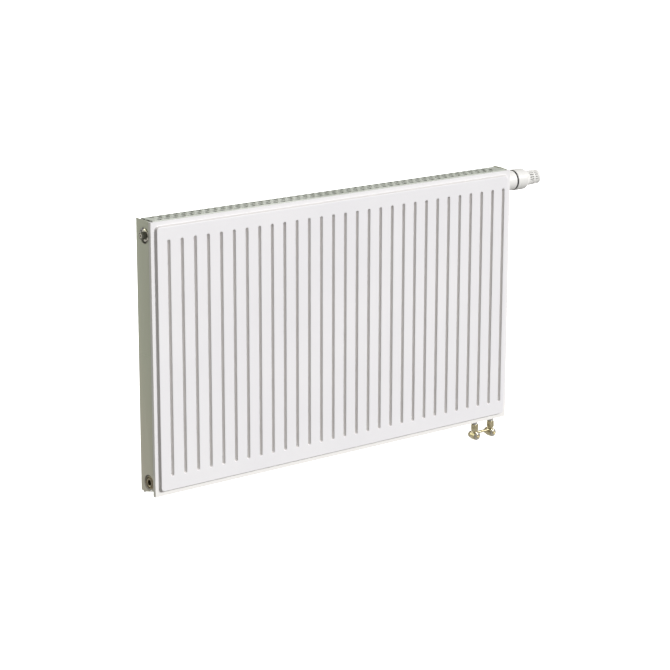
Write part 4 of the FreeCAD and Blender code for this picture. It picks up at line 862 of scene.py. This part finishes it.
def shutoff():
    """The casting with its union nuts, bonnets and slotted stems."""
    shutoff_casting()

    bore = [(6.9, NUT_TOP), (6.9, -23.8), (5.4, -24.2), (5.4, NUT_END)]
    nuts = []
    for x in LEG_X:
        place = placed(x, MIDDLE, PANEL_BOTTOM, "+Z")
        nuts.append(hexagon_ring("nut", NUT_KEY, bore, NUT_END, NUT_TOP, place, chamfer=1.4))
    dress(fused("union_hexagons", *nuts), "union_nuts")

    disc = [
        (5.9, STEM_BORE), (5.9, 6.6), (9.5, 6.6), (9.5, 8.9), (9.9, 9.4), (10.4, 9.4), (10.7, 9.0),
        (10.7, STEM_BORE),
    ]
    key_bore = [(STEM_BORE, 12.7), (STEM_BORE, 10.6)]
    bonnets = []
    for x in LEG_X:
        place = placed(x, MIDDLE, BARREL_Z, "-Y")
        bonnets.append(lathe("disc", soften(disc, 0.25), place))
        bonnets.append(hexagon_ring("key", BONNET_KEY, key_bore, 10.6, 12.7, place, chamfer=0.7))
    dress(fused("bonnets", *bonnets), "shutoff_bonnets")

    outline = [
        (5.2, 0), (5.2, STEM_RADIUS), (STEM_END - 2, STEM_RADIUS), (STEM_END - 2, STEM_HEAD),
        (STEM_END - 0.4, STEM_HEAD), (STEM_END, STEM_HEAD - 0.4), (STEM_END, 0),
    ]
    outline = soften(outline, [0, 0.2, 0.2, 0.2, 0.3, 0.3, 0])
    for name, x in zip(("left", "right"), LEG_X):
        stem = lathe("stem", outline, placed(x, MIDDLE, BARREL_Z, "-Y"))
        slot = rectangle(x - 8, x + 8, BARREL_Z - 0.6, BARREL_Z + 0.6)
        slot = prism("slot", slot, MIDDLE - STEM_END - 5, MIDDLE - STEM_END + 1.5, "Y")
        dress(carve(stem, slot), f"spindle_{name}")


# ---------------------------------------------------------------- hanging lugs


def lugs():
    """Hat-shaped brackets on the back, each with a slot for a screw."""
    section = [
        (-28, -10), (-14, -10), (-14, -3), (14, -3), (14, -10), (28, -10), (28, -7), (17, -7), (17, 0),
        (-17, 0), (-17, -7), (-28, -7),
    ]
    radii = [0.4, 0.4, 1.2, 1.2, 0.4, 0.4, 0.6, 1.2, 2.6, 2.6, 1.2, 0.6]
    segments = 32
    for row, z in (("top", LUG_Z), ("bottom", -LUG_Z)):
        for side, x in (("left", -LUG_X), ("right", LUG_X)):
            outline = [(px + x, py) for px, py in soften(section, radii)]
            lug = prism(f"lug_{row}_{side}", outline, z - LUG_HALF, z + LUG_HALF)
            hole = []
            for k in range(segments):
                angle = 2 * math.pi * (k + 0.5) / segments
                shift = math.copysign(LUG_SLOT_SHIFT, math.cos(angle))
                across = x + shift + LUG_SLOT_RADIUS * math.cos(angle)
                hole.append((across, z + LUG_SLOT_RADIUS * math.sin(angle)))
            dress(carve(lug, prism("slot", hole, -4.5, 1.0, "Y")), f"hanging_lug_{row}_{side}")


# ---------------------------------------------------------------- studio


def area_light(name, spot, power, size, colour=(1, 1, 1)):
    """A square soft box that faces the middle of the radiator."""
    data = bpy.data.lights.new(name, "AREA")
    data.energy, data.size, data.color = power, size, colour
    light = add_object(name, data)
    light.location = spot
    light.rotation_euler = (-Vector(spot)).to_track_quat("-Z", "Y").to_euler()


def sun_light(name, toward, power, spread, colour):
    """Light from a far, soft source that lies in the given direction; spread is in degrees."""
    data = bpy.data.lights.new(name, "SUN")
    data.energy, data.angle, data.color = power, math.radians(spread), colour
    add_object(name, data).rotation_euler = (-Vector(toward)).to_track_quat("-Z", "Y").to_euler()


def mixed_shader(tree, choice, without, with_it):
    """The second shader for the rays that the light path output picks, and the first for the others."""
    node = add_node(tree, "ShaderNodeMixShader", {0: choice, 1: without, 2: with_it})
    return node.outputs[0]


def world():
    """A white surround for the camera, dimmer in reflections and weak as a light."""
    made = bpy.data.worlds.new("studio")
    bpy.context.scene.world = made
    made.use_nodes = True
    tree = made.node_tree
    tree.nodes.clear()
    shaders = []
    for colour, strength in (((1, 1, 1), 1.0), ((1.0, 0.975, 0.94), 0.22), ((1.0, 0.99, 0.97), 0.7)):
        inputs = {"Color": (*colour, 1), "Strength": strength}
        shaders.append(add_node(tree, "ShaderNodeBackground", inputs).outputs[0])
    seen, around, mirrored = shaders
    ray = add_node(tree, "ShaderNodeLightPath")
    unseen = mixed_shader(tree, ray.outputs["Is Glossy Ray"], around, mirrored)
    chosen = mixed_shader(tree, ray.outputs["Is Camera Ray"], unseen, seen)
    add_node(tree, "ShaderNodeOutputWorld", {0: chosen})


def paper_floor():
    """A white ground that glows evenly, and that neither lights the radiator nor is mirrored in it."""
    corners = rectangle(-FLOOR_HALF, FLOOR_HALF, -FLOOR_HALF, FLOOR_HALF)
    floor = mesh_object("floor", [(x, y, FLOOR_Z) for x, y in corners], [[0, 1, 2, 3]])
    paper, tree, shader = start_material("paper", Roughness=0.9, Emission_Strength=1.0)
    shader.inputs["Emission Color"].default_value = (1, 1, 1, 1)
    grain = noise(tree, object_coords(tree), scale=300.0)
    tone = two_tone(tree, grain, (0.93, 0.93, 0.93), (0.96, 0.96, 0.96))
    tree.links.new(tone, shader.inputs["Base Color"])
    floor.data.materials.append(paper)
    floor.visible_diffuse = False
    floor.visible_glossy = False


def studio():
    world()
    paper_floor()
    sun_light("key", toward=(0.5, -0.87, 0.5), power=3.05, spread=10, colour=(1.0, 0.99, 1.0))
    area_light("overhead", spot=(0.4, 0.6, 3.6), power=6, size=2.6)
    area_light("left", spot=(-3.4, 3.3, 1.5), power=34, size=2.2, colour=(0.95, 1.0, 0.66))
    area_light("behind", spot=(-0.4, 4.6, 1.2), power=90, size=2.4)
    view = bpy.context.scene.view_settings
    view.view_transform = "Standard"
    view.look = "None"


def camera():
    """The photograph's viewpoint, fitted to the corners, edges and grooves of the panel."""
    yaw, pitch, roll = (math.radians(a) for a in (37.898, 14.562, -0.105))
    spot, focal_length, sensor = (-2.9906, -3.8864, 1.2398), 120.631, 36.0
    data = bpy.data.cameras.new("camera")
    data.sensor_width, data.lens = sensor, focal_length
    data.clip_start, data.clip_end = 0.05, 60.0
    forward = Vector((math.sin(yaw) * math.cos(pitch), math.cos(yaw) * math.cos(pitch), -math.sin(pitch)))
    aim = forward.to_track_quat("-Z", "Y").to_matrix().to_4x4()
    made = add_object("camera", data)
    made.matrix_world = Matrix.Translation(spot) @ Matrix.Rotation(roll, 4, forward) @ aim
    bpy.context.scene.camera = made


def paint_nodes():
    """Gives every CAD node the material of its slot."""
    for name, node in NODES.items():
        node.data.materials.clear()
        node.data.materials.append(MATERIALS[SLOT_OF[name]])


paint_nodes()
pressed_shell("front_face", "front_panel_outer_shell", FRONT_SEAM, -1, FRONT_GROOVE, 0.0, flanged=True)
pressed_shell("rear_face", "rear_panel_outer_shell", REAR_SEAM, 1, REAR_GROOVE, REAR_INSET, flanged=False)
grille()
side_cover(-1, "left")
side_cover(1, "right")
plugs()
head()
shutoff()
lugs()
studio()
camera()
